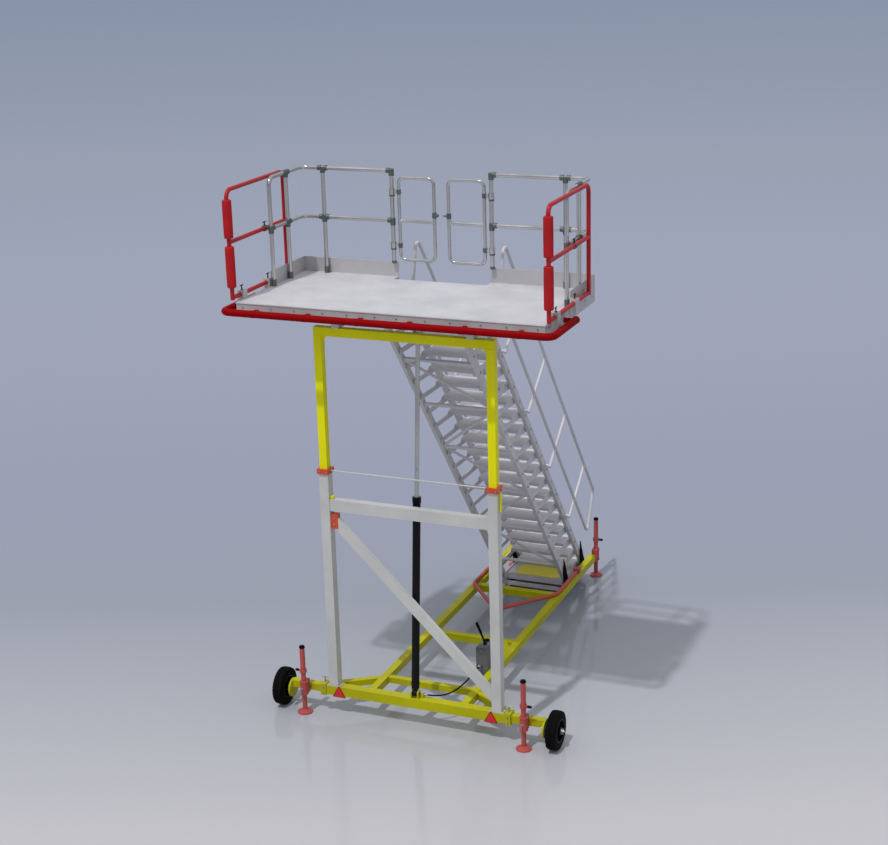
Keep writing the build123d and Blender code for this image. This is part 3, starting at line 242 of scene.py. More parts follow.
class Kit:
    """Collects small shapes of one material into a single mesh."""

    def __init__(self):
        self.mesh = bmesh.new()

    def lathe(self, start, end, profile, sides=24, closed=False):
        """Turned shape about the line from start to end; profile holds (distance, radius) pairs in mm."""
        start, end = at(*start), at(*end)
        axis = (end - start).normalized()
        out = axis.orthogonal().normalized()
        across = axis.cross(out)
        rings = []
        for distance, radius in profile:
            centre = start + axis * distance / PER_METRE
            if radius <= 0:
                rings.append([self.mesh.verts.new(centre)])
                continue
            ring = []
            for k in range(sides):
                angle = 2 * math.pi * k / sides
                spoke = out * math.cos(angle) + across * math.sin(angle)
                ring.append(self.mesh.verts.new(centre + spoke * radius / PER_METRE))
            rings.append(ring)
        pairs = list(zip(rings, rings[1:]))
        if closed:
            pairs.append((rings[-1], rings[0]))
        for one, two in pairs:
            for k in range(sides):
                n = (k + 1) % sides
                if len(one) == 1 and len(two) == 1:
                    continue
                if len(one) == 1:
                    self.mesh.faces.new((one[0], two[k], two[n]))
                elif len(two) == 1:
                    self.mesh.faces.new((one[k], two[0], one[n]))
                else:
                    self.mesh.faces.new((one[k], two[k], two[n], one[n]))

    def block(self, low, high, chamfer=2.0):
        """Box between two corners with chamfered edges."""
        low, high = at(*low), at(*high)
        centre = (low + high) / 2
        size = [abs(b - a) for a, b in zip(low, high)]
        fit = Matrix.Translation(centre) @ Matrix.Diagonal((*size, 1.0))
        made = bmesh.ops.create_cube(self.mesh, size=1.0, matrix=fit)
        edges = list(dict.fromkeys(edge for vert in made["verts"] for edge in vert.link_edges))
        width = min(chamfer / PER_METRE, 0.3 * min(size))
        bmesh.ops.bevel(self.mesh, geom=edges, offset=width, segments=2, profile=0.5, affect="EDGES")

    def plate(self, outline, low, high, axis="x"):
        """Flat plate from its outline: (y, z) points across X, (x, z) across Y or (x, y) across Z."""
        def corner(point, depth):
            spot = list(point)
            spot.insert("xyz".index(axis), depth)
            return self.mesh.verts.new(at(*spot))
        near = [corner(point, low) for point in outline]
        far = [corner(point, high) for point in outline]
        self.mesh.faces.new(near)
        self.mesh.faces.new(list(reversed(far)))
        for k in range(len(outline)):
            n = (k + 1) % len(outline)
            self.mesh.faces.new((near[k], far[k], far[n], near[n]))

    def ring(self, start, axis, inner, outer, length, sides=28):
        """Sleeve with chamfered outer edges."""
        start = Vector(start)
        edge = min(1.5, length / 4)
        self.lathe(start, start + Vector(axis) * length, (
            (0, inner), (0, outer - edge), (edge, outer),
            (length - edge, outer), (length, outer - edge), (length, inner),
        ), sides=sides, closed=True)

    def tee(self, foot, axis, across, height, grip=60.0, radius=6.0):
        """Locking screw with a cross handle."""
        foot, across = Vector(foot), Vector(across)
        top = foot + Vector(axis) * height
        self.lathe(foot, top, (
            (0, 0), (0, 2.2 * radius), (4, 2.2 * radius),
            (5, radius), (height, radius), (height + radius, 0),
        ), sides=16)
        half = across * grip / 2
        self.lathe(top - half, top + half, (
            (0, 0), (0, 0.6 * radius), (3, 0.9 * radius),
            (grip - 3, 0.9 * radius), (grip, 0.6 * radius), (grip, 0),
        ), sides=14)

    def nut(self, seat, axis, radius, height):
        """Low hexagon nut on a washer."""
        seat = Vector(seat)
        end = seat + Vector(axis) * 100
        washer = 0.22 * height
        disc = ((0, 0), (0, 1.25 * radius), (washer, 1.25 * radius), (washer, 0))
        self.lathe(seat, end, disc, sides=20)
        self.lathe(seat, end, (
            (washer, 0), (washer, radius), (0.85 * height, radius), (height, 0.85 * radius), (height, 0),
        ), sides=6)

    def bolt(self, seat, axis, size):
        """Hexagon head on a washer, standing on a surface; size is the thread in mm."""
        seat, axis = Vector(seat), Vector(axis).normalized()
        end = seat + axis * 10 * size
        washer, head = 0.18 * size, 0.85 * size
        self.lathe(seat, end, ((0, 0), (0, 1.05 * size), (washer, 1.05 * size), (washer, 0)), sides=18)
        self.lathe(
            seat + axis * washer, end,
            ((0, 0), (0, 0.9 * size), (0.75 * head, 0.9 * size), (head, 0.74 * size), (head, 0)),
            sides=6,
        )

    def weld(self, points, radius=4.0):
        """Rippled bead along a path of points."""
        for start, end in zip(points, points[1:]):
            run = Vector(end) - Vector(start)
            ripples = max(int(run.length / (1.6 * radius)), 2)
            profile = [(0, 0)]
            for k in range(2 * ripples + 1):
                profile.append((run.length * k / (2 * ripples), radius * (1.0 if k % 2 else 0.82)))
            profile.append((run.length, 0))
            self.lathe(start, end, profile, sides=8)

    def tube(self, points, radius, sides=16):
        """Round bar along a polyline in mm, with mitred corners and flat ends."""
        path = [at(*point) for point in points]
        rings = []
        out = None
        for k, point in enumerate(path):
            before = (point - path[k - 1]).normalized() if k else None
            after = (path[k + 1] - point).normalized() if k + 1 < len(path) else None
            along = ((before or after) + (after or before)).normalized()
            if out is None:
                out = along.orthogonal().normalized()
            out = (out - along * out.dot(along)).normalized()
            across = along.cross(out)
            widen = 1.0
            if before and after:
                widen = 1.0 / max(math.cos(before.angle(after) / 2), 0.5)
                bend = after - before
                if bend.length > 1e-6:
                    bend = bend.normalized()
                    out = (bend - along * bend.dot(along)).normalized()
                    across = along.cross(out)
            ring = []
            for n in range(sides):
                angle = 2 * math.pi * n / sides
                spoke = out * math.cos(angle) * widen + across * math.sin(angle)
                ring.append(point + spoke * radius / PER_METRE)
            rings.append(ring)
        verts = [[self.mesh.verts.new(p) for p in rings[0]]]
        for ring in rings[1:]:
            last = [v.co for v in verts[-1]]
            shift = min(range(sides), key=lambda s: sum(
                (ring[(n + s) % sides] - last[n]).length for n in range(0, sides, 4)
            ))
            verts.append([self.mesh.verts.new(ring[(n + shift) % sides]) for n in range(sides)])
        for one, two in zip(verts, verts[1:]):
            for n in range(sides):
                m = (n + 1) % sides
                self.mesh.faces.new((one[n], two[n], two[m], one[m]))
        self.mesh.faces.new(list(reversed(verts[0])))
        self.mesh.faces.new(verts[-1])

    def bent(self, points, radius, bend, sides=20, steps=10):
        """Rigid tube along a polyline in mm, its square corners bent to a radius."""
        points = [Vector(point) for point in points]
        path = [points[0]]
        for before, corner, after in zip(points, points[1:], points[2:]):
            inward, onward = (before - corner).normalized(), (after - corner).normalized()
            middle = corner + (inward + onward) * bend
            for k in range(steps + 1):
                turn = math.pi / 2 * k / steps
                path.append(middle - (onward * math.cos(turn) + inward * math.sin(turn)) * bend)
        self.tube(path + [points[-1]], radius, sides=sides)

    def done(self, name, look, body, sharp=32):
        """Make the collected mesh a piece that rides on a body."""
        bmesh.ops.recalc_face_normals(self.mesh, faces=self.mesh.faces)
        data = bpy.data.meshes.new(name)
        self.mesh.to_mesh(data)
        self.mesh.free()
        for face in data.polygons:
            face.use_smooth = True
        data.set_sharp_from_angle(angle=math.radians(sharp))
        data.materials.append(look)
        piece = bpy.data.objects.new(name, data)
        bpy.context.collection.objects.link(piece)
        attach(piece, body)
        return piece


# Camera at the photograph's viewing angle
AZIMUTH, ELEVATION, ROLL = math.radians(22.86), math.radians(17.56), math.radians(-1.58)
AIM, DISTANCE = (-310, 1680, 2710), 18.60
FOCAL_PIXELS, PHOTO_PIXELS, SENSOR = 1740.0, 888.0, 36.0
back = Vector((
    math.sin(AZIMUTH) * math.cos(ELEVATION),
    -math.cos(AZIMUTH) * math.cos(ELEVATION),
    math.sin(ELEVATION),
))
level = Vector(UP).cross(back).normalized()
upright = back.cross(level)
right = level * math.cos(ROLL) + upright * math.sin(ROLL)
up = -level * math.sin(ROLL) + upright * math.cos(ROLL)
lens = bpy.data.cameras.new("camera")
lens.sensor_fit = "HORIZONTAL"
lens.sensor_width = SENSOR
lens.lens = FOCAL_PIXELS / PHOTO_PIXELS * SENSOR
lens.clip_end = 2000.0
camera = bpy.data.objects.new("camera", lens)
turn = Matrix((right, up, back)).transposed().to_4x4()
camera.matrix_world = Matrix.Translation(at(*AIM) + back * DISTANCE) @ turn
bpy.context.collection.objects.link(camera)
bpy.context.scene.camera = camera

# Hose from the port on the beam to the hand pump, over the bowed brace
HOSE_ROUTE = (
    (82, 25, 345), (142, 25, 345), (202, 61, 333), (252, 114, 322), (294, 180, 316), (330, 258, 319),
    (358, 346, 330), (379, 440, 344), (391, 535, 357), (398, 628, 366), (400, 720, 370), (400, 790, 370),
)
HOSE_LENGTH, HOSE_R = 0.905, 0.008
path = bpy.data.curves.new("hose", "CURVE")
path.dimensions = "3D"
spline = path.splines.new("NURBS")
spline.points.add(len(HOSE_ROUTE) - 1)
for point, stop in zip(spline.points, HOSE_ROUTE):
    point.co = (*at(*stop), 1.0)
spline.order_u = 3
spline.use_endpoint_u = True
spline.resolution_u = 8
path.bevel_depth = HOSE_R
path.bevel_resolution = 6
path.use_fill_caps = True
path.materials.append(RUBBER)
hose = bpy.data.objects.new("hose", path)
bpy.context.collection.objects.link(hose)
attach(hose, "chassis")
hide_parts("pump_hose")
tuple(at(*HOSE_ROUTE[0]))

# Turned profiles, here and below, hold distances along the axis and radii
FERRULE = ((0, 0), (0, 14), (10, 14), (11, 11), (34, 11), (36, 9), (40, 8.6), (40, 0))
kit = Kit()
for start, end in (HOSE_ROUTE[:2], HOSE_ROUTE[:-3:-1]):
    kit.lathe(start, end, FERRULE, sides=20)
kit.done("hose_fittings", STEEL, "chassis")

# Foam sleeves on the sliding guards' front posts, with a pulled-in seam down the inner side
FOAM_SPANS = ((140, 540), (620, 990))
FOAM_R, FOAM_SWELL, FOAM_LIP, FOAM_ROUND, FOAM_BORE = 45, 0.9, 33, 12, RAIL_R + 0.4
ROUND_STEPS, SWELL_STEPS = 6, 12
SEAM_ANGLE, SEAM_DEPTH, SEAM_FROM = 0.09, 0.0035, 0.03
turns = [math.radians(90 * k / ROUND_STEPS) for k in range(ROUND_STEPS + 1)]
rounded = [(FOAM_ROUND * (1 - math.cos(t)), FOAM_LIP + FOAM_ROUND * math.sin(t)) for t in turns]
for side in SIDES:
    post = (side * SLIDE_X, SLIDE_FRONT)
    kit = Kit()
    for low, high in FOAM_SPANS:
        length = high - low
        profile = [(0, FOAM_BORE)] + rounded
        for k in range(1, SWELL_STEPS):
            share = k / SWELL_STEPS
            swell = FOAM_SWELL * math.sin(math.pi * share)
            profile.append((FOAM_ROUND + (length - 2 * FOAM_ROUND) * share, FOAM_R + swell))
        profile += [(length - reach, radius) for reach, radius in reversed(rounded)]
        profile.append((length, FOAM_BORE))
        kit.lathe((*post, DECK_Z + low), (*post, DECK_Z + high), profile, sides=40, closed=True)
    for vert in kit.mesh.verts:
        offset = vert.co - at(*post, 0)
        inward = abs(math.atan2(offset.y, -side * offset.x))
        if inward < SEAM_ANGLE and math.hypot(offset.x, offset.y) > SEAM_FROM:
            vert.co.x += side * SEAM_DEPTH * (1 - inward / SEAM_ANGLE)
    foam = kit.done(f"foam_{NAMES[side]}", FOAM, f"guard_{NAMES[side]}", sharp=50)
    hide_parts(f"foam_sleeves_{NAMES[side]}")

# Tyres with tread blocks, wheel trim and axle nuts
SIDE_WALL = (
    (0, RIM_R), (0, 134), (3, 150), (3, 158), (5.5, 160), (5.5, 166), (3, 168), (6, 182),
    (14, 190.5), (24, 193),
)
CROWN_R, GROOVE_R = 194.5, 191
LUGS, LUG_SHARE, LUG_ROWS = 30, 0.36, ((5, 50), (60, 105))
# Columns are a layer's inset and its radii at the tyre's shoulder and near its middle
LUG_LAYERS = ((0.0, 184, 191), (0.10, 194, 199.0), (0.22, 195, 199.9))
LUG_CORNERS = ((0, -1), (1, -1), (1, 1), (0, 1))
RIM_EDGE, RIM_EDGE_L = ((0, 108), (0, 111), (6, 115), (4, 108)), 6
HUB_BORE, HUB_R, HUB_T = 39, 50, 6
WHEEL_BOLTS, WHEEL_BOLT_R = 5, 66
VALVE = ((0, 0), (0, 5), (26, 5), (27, 4), (38, 4), (39, 0))
VALVE_FOOT_R, VALVE_TIP_R, VALVE_TIP_X = 96, 90, 46
AXLE_CAP = ((0, 31), (12, 31), (16, 27), (16, 12), (0, 12))
AXLE_NUT = ((0, 0), (0, 16), (10, 16), (13, 13), (13, 8), (17, 7), (18, 0))
CAP_GAP, NUT_SEAT, NUT_END = 6, 14, 60
TYRE_HALF = TYRE_W / 2
TYRE_PROFILE = (
    *SIDE_WALL,
    (TYRE_HALF - 4, CROWN_R), (TYRE_HALF - 3, GROOVE_R),
    (TYRE_HALF + 3, GROOVE_R), (TYRE_HALF + 4, CROWN_R),
    *((TYRE_W - reach, radius) for reach, radius in reversed(SIDE_WALL)),
)


def around(x, radius, angle):
    """Point on a circle about the wheels' axle, with the angle from the top."""
    return x, radius * math.sin(angle), WHEEL_R + radius * math.cos(angle)


def tread_block(kit, inner_face, row, middle):
    """Tread block of one row, in layers of four corners from its foot to its top."""
    low, high = LUG_ROWS[row]
    wide = 2 * math.pi / LUGS * LUG_SHARE
    layers = []
    for inset, shoulder, centre_line in LUG_LAYERS:
        layer = []
        for share, way in LUG_CORNERS:
            reach = low + (high - low) * (inset + (1 - 2 * inset) * share)
            radius = shoulder if share == row else centre_line
            spin = middle + way * wide * (1 - inset)
            layer.append(kit.mesh.verts.new(at(*around(inner_face + reach, radius, spin))))
        layers.append(layer)
    for one, two in zip(layers, layers[1:]):
        for n in range(4):
            m = (n + 1) % 4
            kit.mesh.faces.new((one[n], two[n], two[m], one[m]))
    kit.mesh.faces.new(layers[-1])
    kit.mesh.faces.new(list(reversed(layers[0])))


for side in SIDES:
    wheel = f"wheel_{NAMES[side]}"
    centre = side * WHEEL_X
    ends = [(centre + way * TYRE_HALF, 0, WHEEL_R) for way in SIDES]
    kit = Kit()
    kit.lathe(*ends, TYRE_PROFILE, sides=72, closed=True)
    for row in range(len(LUG_ROWS)):
        for k in range(LUGS):
            tread_block(kit, centre - TYRE_HALF, row, 2 * math.pi * (k + 0.5 * row) / LUGS)
    tyre = kit.done(f"tread_tyre_{NAMES[side]}", RUBBER, wheel)
    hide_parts(f"tyre_{NAMES[side]}")

    kit = Kit()
    for way, end in zip(SIDES, ends):
        kit.lathe((end[0] - way * RIM_EDGE_L, 0, WHEEL_R), end, RIM_EDGE, sides=56, closed=True)
        disc = centre + way * DISC_T / 2
        kit.ring((disc, 0, WHEEL_R), (way, 0, 0), HUB_BORE, HUB_R, HUB_T, sides=40)
        for k in range(WHEEL_BOLTS):
            kit.bolt(around(disc, WHEEL_BOLT_R, 2 * math.pi * k / WHEEL_BOLTS), (way, 0, 0), 9)
    kit.lathe((centre + side * DISC_T / 2, 0, WHEEL_R - VALVE_FOOT_R),
              (centre + side * VALVE_TIP_X, 0, WHEEL_R - VALVE_TIP_R), VALVE, sides=12)
    kit.done(f"wheel_trim_{NAMES[side]}", BLACK, wheel)

    kit = Kit()
    cap = side * (WHEEL_X + TYRE_HALF + CAP_GAP)
    beyond = (cap + side * NUT_END, 0, WHEEL_R)
    kit.lathe((cap, 0, WHEEL_R), beyond, AXLE_CAP, sides=32, closed=True)
    kit.lathe((cap + side * NUT_SEAT, 0, WHEEL_R), beyond, AXLE_NUT, sides=6)
    kit.done(f"axle_nut_{NAMES[side]}", STEEL, "chassis")

# Chassis: bolts, clamp screws, weld beads and reflector rims
CLAMP_BOLT_Z, FLANGE_BOLT_R, FLANGE_BOLT_ANGLES = 30, 82, (60, 120, 180, 240, 300)
POST_BOLT_X, POST_BOLT_Y = 62.5, 30
BRACE_FOOT, BRACE_FOOT_Z = ((1046, 50), (1022, 79), (968, 113), (915, 50)), (292, 298)
EAR_IN, EAR_HALF = 31, 35
REFLECTOR_RIM, REFLECTOR_RIM_R = REFLECTOR_R - 3, 3.2
FINE_WELD = 3
kit = Kit()
for side in SIDES:
    clamp = side * (BEAM_HALF - CLAMP_L / 2)
    for z in (BEAM_MID - CLAMP_BOLT_Z, BEAM_MID + CLAMP_BOLT_Z):
        for face in (FRONT, REAR):
            kit.bolt((clamp, face[1] * CLAMP / 2, z), face, 10)
    kit.tee((clamp, 0, BEAM_MID + CLAMP / 2), UP, (1, 0, 0), 58, grip=84, radius=7)
    for angle in FLANGE_BOLT_ANGLES:
        kit.bolt(around(side * OUTRIGGER_END, FLANGE_BOLT_R, math.radians(angle)), (-side, 0, 0), 10)
    for dx in (-POST_BOLT_X, POST_BOLT_X):
        for y in (-POST_BOLT_Y, POST_BOLT_Y):
            kit.bolt((side * POST_X + dx, y, POST_FOOT), UP, 8)
kit.done("chassis_bolts", STEEL, "chassis")

kit = Kit()
half = OUTRIGGER / 2
for side in SIDES:
    inner, outer = side * (RAIL_X - RAIL / 2), side * (RAIL_X + RAIL / 2)
    for x in (inner, outer):
        kit.weld(((x, BEAM / 2, RAIL_LOW), (x, BEAM / 2, RAIL_TOP)))
    kit.weld(((inner, BEAM / 2, RAIL_TOP), (outer, BEAM / 2, RAIL_TOP)))
    for y in CROSS_Y:
        faces = (y - RAIL / 2, y + RAIL / 2)
        for face in faces:
            kit.weld(((inner, face, RAIL_LOW), (inner, face, RAIL_TOP)))
        kit.weld([(inner, face, RAIL_TOP) for face in faces], radius=FINE_WELD)
    kit.plate([(side * x, y) for x, y in BRACE_FOOT], *BRACE_FOOT_Z, axis="z")
    end, hub = side * BEAM_HALF, side * OUTRIGGER_END
    for y in (-half, half):
        kit.weld(((end, y, BEAM_MID - half), (end, y, BEAM_MID + half)))
    kit.weld(((end, -half, BEAM_MID + half), (end, half, BEAM_MID + half)))
    for y in (-half, half):
        kit.weld(((hub, y, BEAM_MID - half), (hub, y, BEAM_MID + half)))
    ear = side * EAR_OUT
    for y in (-EAR_HALF, EAR_HALF):
        kit.weld(((side * EAR_IN, y, BEAM_TOP), (ear, y, BEAM_TOP)), radius=FINE_WELD)
    kit.weld(((ear, -EAR_HALF, BEAM_TOP), (ear, EAR_HALF, BEAM_TOP)), radius=FINE_WELD)
kit.done("chassis_welds", CHASSIS_YELLOW, "chassis")

kit = Kit()
for side in SIDES:
    tips = []
    for angle in (90, 210, 330, 90):
        turn = math.radians(angle)
        x = side * REFLECTOR_X + REFLECTOR_RIM * math.cos(turn)
        z = BEAM_MID - REFLECTOR_R / 4 + REFLECTOR_RIM * math.sin(turn)
        tips.append((x, -BEAM / 2 - REFLECTOR_T, z))
    for start, end in zip(tips, tips[1:]):
        kit.tube((start, end), REFLECTOR_RIM_R, sides=10)
kit.done("reflector_rims", BUMPER_RED, "chassis")

# Support jacks: thread, cap, handle grip, sleeve rings and lock screw
THREAD_PITCH, THREAD_SPARE = 14, 20
# Columns are the distance along one turn and how far the thread stands out there
THREAD_TURN = ((2, 0.4), (5, 2.5), (9, 2.5), (12, 0.4))
JACK_RING_DROP, JACK_RING_L = 34, 10
JACK_CAP, CAP_DEPTH = ((0, JACK_R), (0, 30), (14, 30), (22, 26), (26, 14), (27, 0)), 16
JACK_GRIP, GRIP_L = ((0, 9), (0, 12), (6, 14), (34, 14), (42, 11), (46, 0)), 36
SLEEVE_RING_L, SLEEVE_CARRIER, SLEEVE_WELD_X, SLEEVE_WELD_GAP, LOCK_RISE = 16, 80, 30, 4, 20
thread = [(0, JACK_R - 1)]
for k in range(int((JACK_TOP - THREAD_SPARE - JACK_COLLAR_TOP) / THREAD_PITCH)):
    thread += [(k * THREAD_PITCH + along, JACK_R + proud) for along, proud in THREAD_TURN]
thread.append((thread[-1][0] + 1, JACK_R - 1))
for name, (x, y, free) in JACKS.items():
    kit = Kit()
    kit.lathe((x, y, JACK_COLLAR_TOP), (x, y, JACK_TOP), thread, sides=24)
    kit.ring((x, y, JACK_COLLAR_TOP - JACK_RING_DROP), DOWN, JACK_R, JACK_R + 6, JACK_RING_L)
    kit.done(f"jack_thread_{name}", JACK_RED, f"jack_{name}")
    kit = Kit()
    kit.lathe((x, y, JACK_TOP - CAP_DEPTH), (x, y, JACK_TOP + 20), JACK_CAP, sides=28)
    way = 1 if x > 0 else -1
    tip = x + way * JACK_HANDLE_L
    kit.lathe((tip - way * GRIP_L, y, JACK_HANDLE_Z), (tip, y, JACK_HANDLE_Z), JACK_GRIP, sides=20)
    kit.done(f"jack_grip_{name}", RUBBER, f"jack_{name}")
    kit = Kit()
    for z in (SLEEVE_LOW, SLEEVE_HIGH - SLEEVE_RING_L):
        kit.ring((x, y, z), UP, SLEEVE_R - 1, SLEEVE_R + 5, SLEEVE_RING_L, sides=36)
    carrier = y - free * SLEEVE_CARRIER
    for edge in (x - SLEEVE_WELD_X, x + SLEEVE_WELD_X):
        if abs(edge) < RAIL_X + RAIL / 2 or abs(x) > BEAM_HALF:
            ends = (RAIL_LOW + SLEEVE_WELD_GAP, RAIL_TOP - SLEEVE_WELD_GAP)
            kit.weld([(edge, carrier, end) for end in ends])
    kit.done(f"jack_sleeve_rings_{name}", JACK_RED, "chassis")
    kit = Kit()
    kit.tee((x, y + free * (SLEEVE_R - 1), BEAM_MID + LOCK_RISE), (0, free, 0), UP, 38, grip=56)
    kit.done(f"jack_lock_{name}", STEEL, "chassis")

# Mast: collar bolts, tie nuts, weld beads, catches, gussets and the cylinder's fittings
COLLAR_BOLT_X, SHOE_BOLT_Z = 42, (SHOE_Z + 45, SHOE_Z + 110)
BRACE_WELD_Y, BRACE_WELD_Z = 25, (402, 543)
STOP, STOP_HALF, CATCH_DROP, CATCH_W, CATCH_Y = 34, 18, 210, 18, (-4, 34)
GUSSET_LEG, GUSSET_HALF_T = 58, 5
GLAND_L, BARREL_RING_AT, BARREL_RING_L = 58, 92, 26
WIPER_R, WIPER_L, WIPER_GAP = 33, 9, 1.2
PIN_RING_BORE, PIN_RING_R, PIN_RING_L, PIN_RING_GAP = 15.2, 23, 4.4, 0.4
collar_mid = POST_TOP + COLLAR_H / 2
inside, outside = POST_X - POST / 2, POST_X + POST / 2
kit = Kit()
for side in SIDES:
    for across in (-COLLAR_BOLT_X, COLLAR_BOLT_X):
        for face in (FRONT, REAR):
            kit.bolt((side * POST_X + across, face[1] * COLLAR / 2, collar_mid), face, 8)
        kit.bolt((side * (POST_X + COLLAR / 2), across, collar_mid), (side, 0, 0), 8)
    kit.nut((side * (POST_X - COLLAR / 2), 0, collar_mid), (-side, 0, 0), 14, 14)
for z in SHOE_BOLT_Z:
    for face in (FRONT, REAR):
        kit.bolt((-inside + SHOE_W / 2, face[1] * SHOE_D / 2, z), face, 10)
kit.done("mast_bolts", STEEL, "chassis")

kit = Kit()
for side in SIDES:
    for x in (inside, outside):
        kit.weld(((side * x, -POST / 2, POST_FOOT), (side * x, POST / 2, POST_FOOT)))
    for y in (-CROSS_D / 2, CROSS_D / 2):
        kit.weld(((side * inside, y, CROSS_Z), (side * inside, y, CROSS_Z + CROSS_H)))
    for z in (CROSS_Z, CROSS_Z + CROSS_H):
        kit.weld(((side * inside, -CROSS_D / 2, z), (side * inside, CROSS_D / 2, z)))
for y in (-BRACE_WELD_Y, BRACE_WELD_Y):
    kit.weld([(inside, y, z) for z in BRACE_WELD_Z])
kit.done("mast_welds", WHITE, "chassis")

kit = Kit()
stop_z = CROSS_Z + CROSS_H
kit.block((-inside, -STOP_HALF, stop_z), (-inside + STOP, STOP_HALF, stop_z + STOP), chamfer=5)
kit.block((outside, CATCH_Y[0], POST_TOP - CATCH_DROP), (outside + CATCH_W, CATCH_Y[1], POST_TOP),
          chamfer=4)
kit.done("mast_catches", YELLOW, "chassis")

kit = Kit()
post, beam = POST_X - INNER / 2, MAST_BEAM_Z
gusset = ((post, beam), (post - GUSSET_LEG, beam), (post, beam - GUSSET_LEG))
for side in SIDES:
    kit.plate([(side * x, z) for x, z in gusset], -GUSSET_HALF_T, GUSSET_HALF_T, axis="y")
    for y in (-INNER / 2, INNER / 2):
        kit.weld(((side * post, y, beam), (side * (POST_X + INNER / 2), y, beam)))
kit.done("inner_mast_gussets", YELLOW, "platform")

lift_axis = Vector((0, EYE_Y, EYE_Z - CLEVIS_Z)).normalized()


def on_lift(distance):
    """Point on the cylinder's axis at a distance from its lower pin."""
    return Vector((0, 0, CLEVIS_Z)) + lift_axis * distance


kit = Kit()
kit.ring(on_lift(BARREL_L - GLAND_L), lift_axis, BARREL_R - BITE, BARREL_R + 5, GLAND_L, sides=40)
kit.ring(on_lift(BARREL_RING_AT), lift_axis, BARREL_R - BITE, BARREL_R + 4, BARREL_RING_L, sides=40)
kit.done("cylinder_gland", BLACK, "barrel")
kit = Kit()
kit.ring(on_lift(BARREL_L), lift_axis, ROD_R + WIPER_GAP, WIPER_R, WIPER_L, sides=36)
for side in SIDES:
    pin_end = (side * (EAR_OUT + PIN_RING_GAP), 0, CLEVIS_Z)
    kit.ring(pin_end, (side, 0, 0), PIN_RING_BORE, PIN_RING_R, PIN_RING_L)
kit.done("cylinder_rings", STEEL, "barrel")
kit = Kit()
for side in SIDES:
    kit.nut((side * EAR_OUT, EYE_Y, EYE_Z), (side, 0, 0), 24, 18)
kit.done("lift_eye_nuts", STEEL, "platform")

# Deck edge, its bolts and the bumper's fittings
LIP_DROP, LIP_R, SEAT_RISE, SEAT_R = 9, 7, 8, 5
BEARER_HALF = 40
FRONT_BOLTS, REAR_BOLTS = (110, 400, 650, 950, 1200, 1500), (640, 900, 1160, 1420)
SIDE_BOLTS, EDGE_BOLT_DROP = (-300, -60, 120, 520, 760, 980), 26
TOE_SIDE_BOLTS, TOE_REAR_BOLTS, TOE_BOLT_RISE = (480, 700, 920), (680, 960, 1240), 80
CHEEK_BOLTS, CHEEK_BOLT_Z = (500, 640, 780), 4280
BUMPER_BOLT_X, BUMPER_GAP, BUMPER_BAND, BUMPER_CAP_BACK = 36, 104, 44, 14
BUMPER_DOME = ((0, BUMPER_R), (2, BUMPER_R + 2), (14, BUMPER_R + 2), (22, 30), (27, 16), (28, 0))
corners = (
    (-DECK_HALF, DECK_REAR), (-DECK_HALF, DECK_FRONT), (DECK_HALF, DECK_FRONT), (DECK_HALF, DECK_REAR),
)
bearer_z = MAST_BEAM_Z + MAST_BEAM_H
kit = Kit()
kit.tube([(*corner, DECK_Z - LIP_DROP) for corner in corners], LIP_R, sides=16)
kit.tube([(*corner, FRAME_BOTTOM + SEAT_RISE) for corner in corners], SEAT_R, sides=12)
for side in SIDES:
    for x in (BEARER_X - BEARER_HALF, BEARER_X + BEARER_HALF):
        kit.weld(((side * x, -INNER / 2, bearer_z), (side * x, INNER / 2, bearer_z)))
kit.done("deck_lip", FASCIA, "platform")

kit = Kit()
edge_z, toe_z = FRAME_TOP - EDGE_BOLT_DROP, DECK_Z + TOE_BOLT_RISE
for side in SIDES:
    out = (side, 0, 0)
    for x in FRONT_BOLTS:
        kit.bolt((side * x, DECK_FRONT, edge_z), FRONT, 8)
    for x in REAR_BOLTS:
        kit.bolt((side * x, DECK_REAR, edge_z), REAR, 8)
    for y in SIDE_BOLTS:
        kit.bolt((side * DECK_HALF, y, edge_z), out, 8)
    for y in TOE_SIDE_BOLTS:
        kit.bolt((side * DECK_HALF, y, toe_z), out, 8)
    for x in TOE_REAR_BOLTS:
        kit.bolt((side * x, DECK_REAR, toe_z), REAR, 8)
    for x in BUMPER_POSTS:
        for across in (-BUMPER_BOLT_X, BUMPER_BOLT_X):
            kit.bolt((side * x + across, DECK_FRONT, BUMPER_Z), FRONT, 10)
    for y in CHEEK_BOLTS:
        kit.bolt((side * CHEEK_OUT, y, CHEEK_BOLT_Z), out, 7)
kit.done("deck_bolts", STEEL, "platform")

kit = Kit()
for side in SIDES:
    x, y = side * BUMPER_X, BUMPER_BACK - BUMPER_CAP_BACK
    kit.lathe((x, y, BUMPER_Z), (x, y + 50, BUMPER_Z), BUMPER_DOME, sides=32)
    for x in BUMPER_POSTS:
        band = (side * x - BUMPER_BAND / 2, DECK_FRONT - BUMPER_GAP, BUMPER_Z)
        kit.ring(band, (1, 0, 0), BUMPER_R - BITE, BUMPER_R + 1.8, BUMPER_BAND, sides=32)
kit.done("bumper_fittings", BUMPER_RED, "platform")

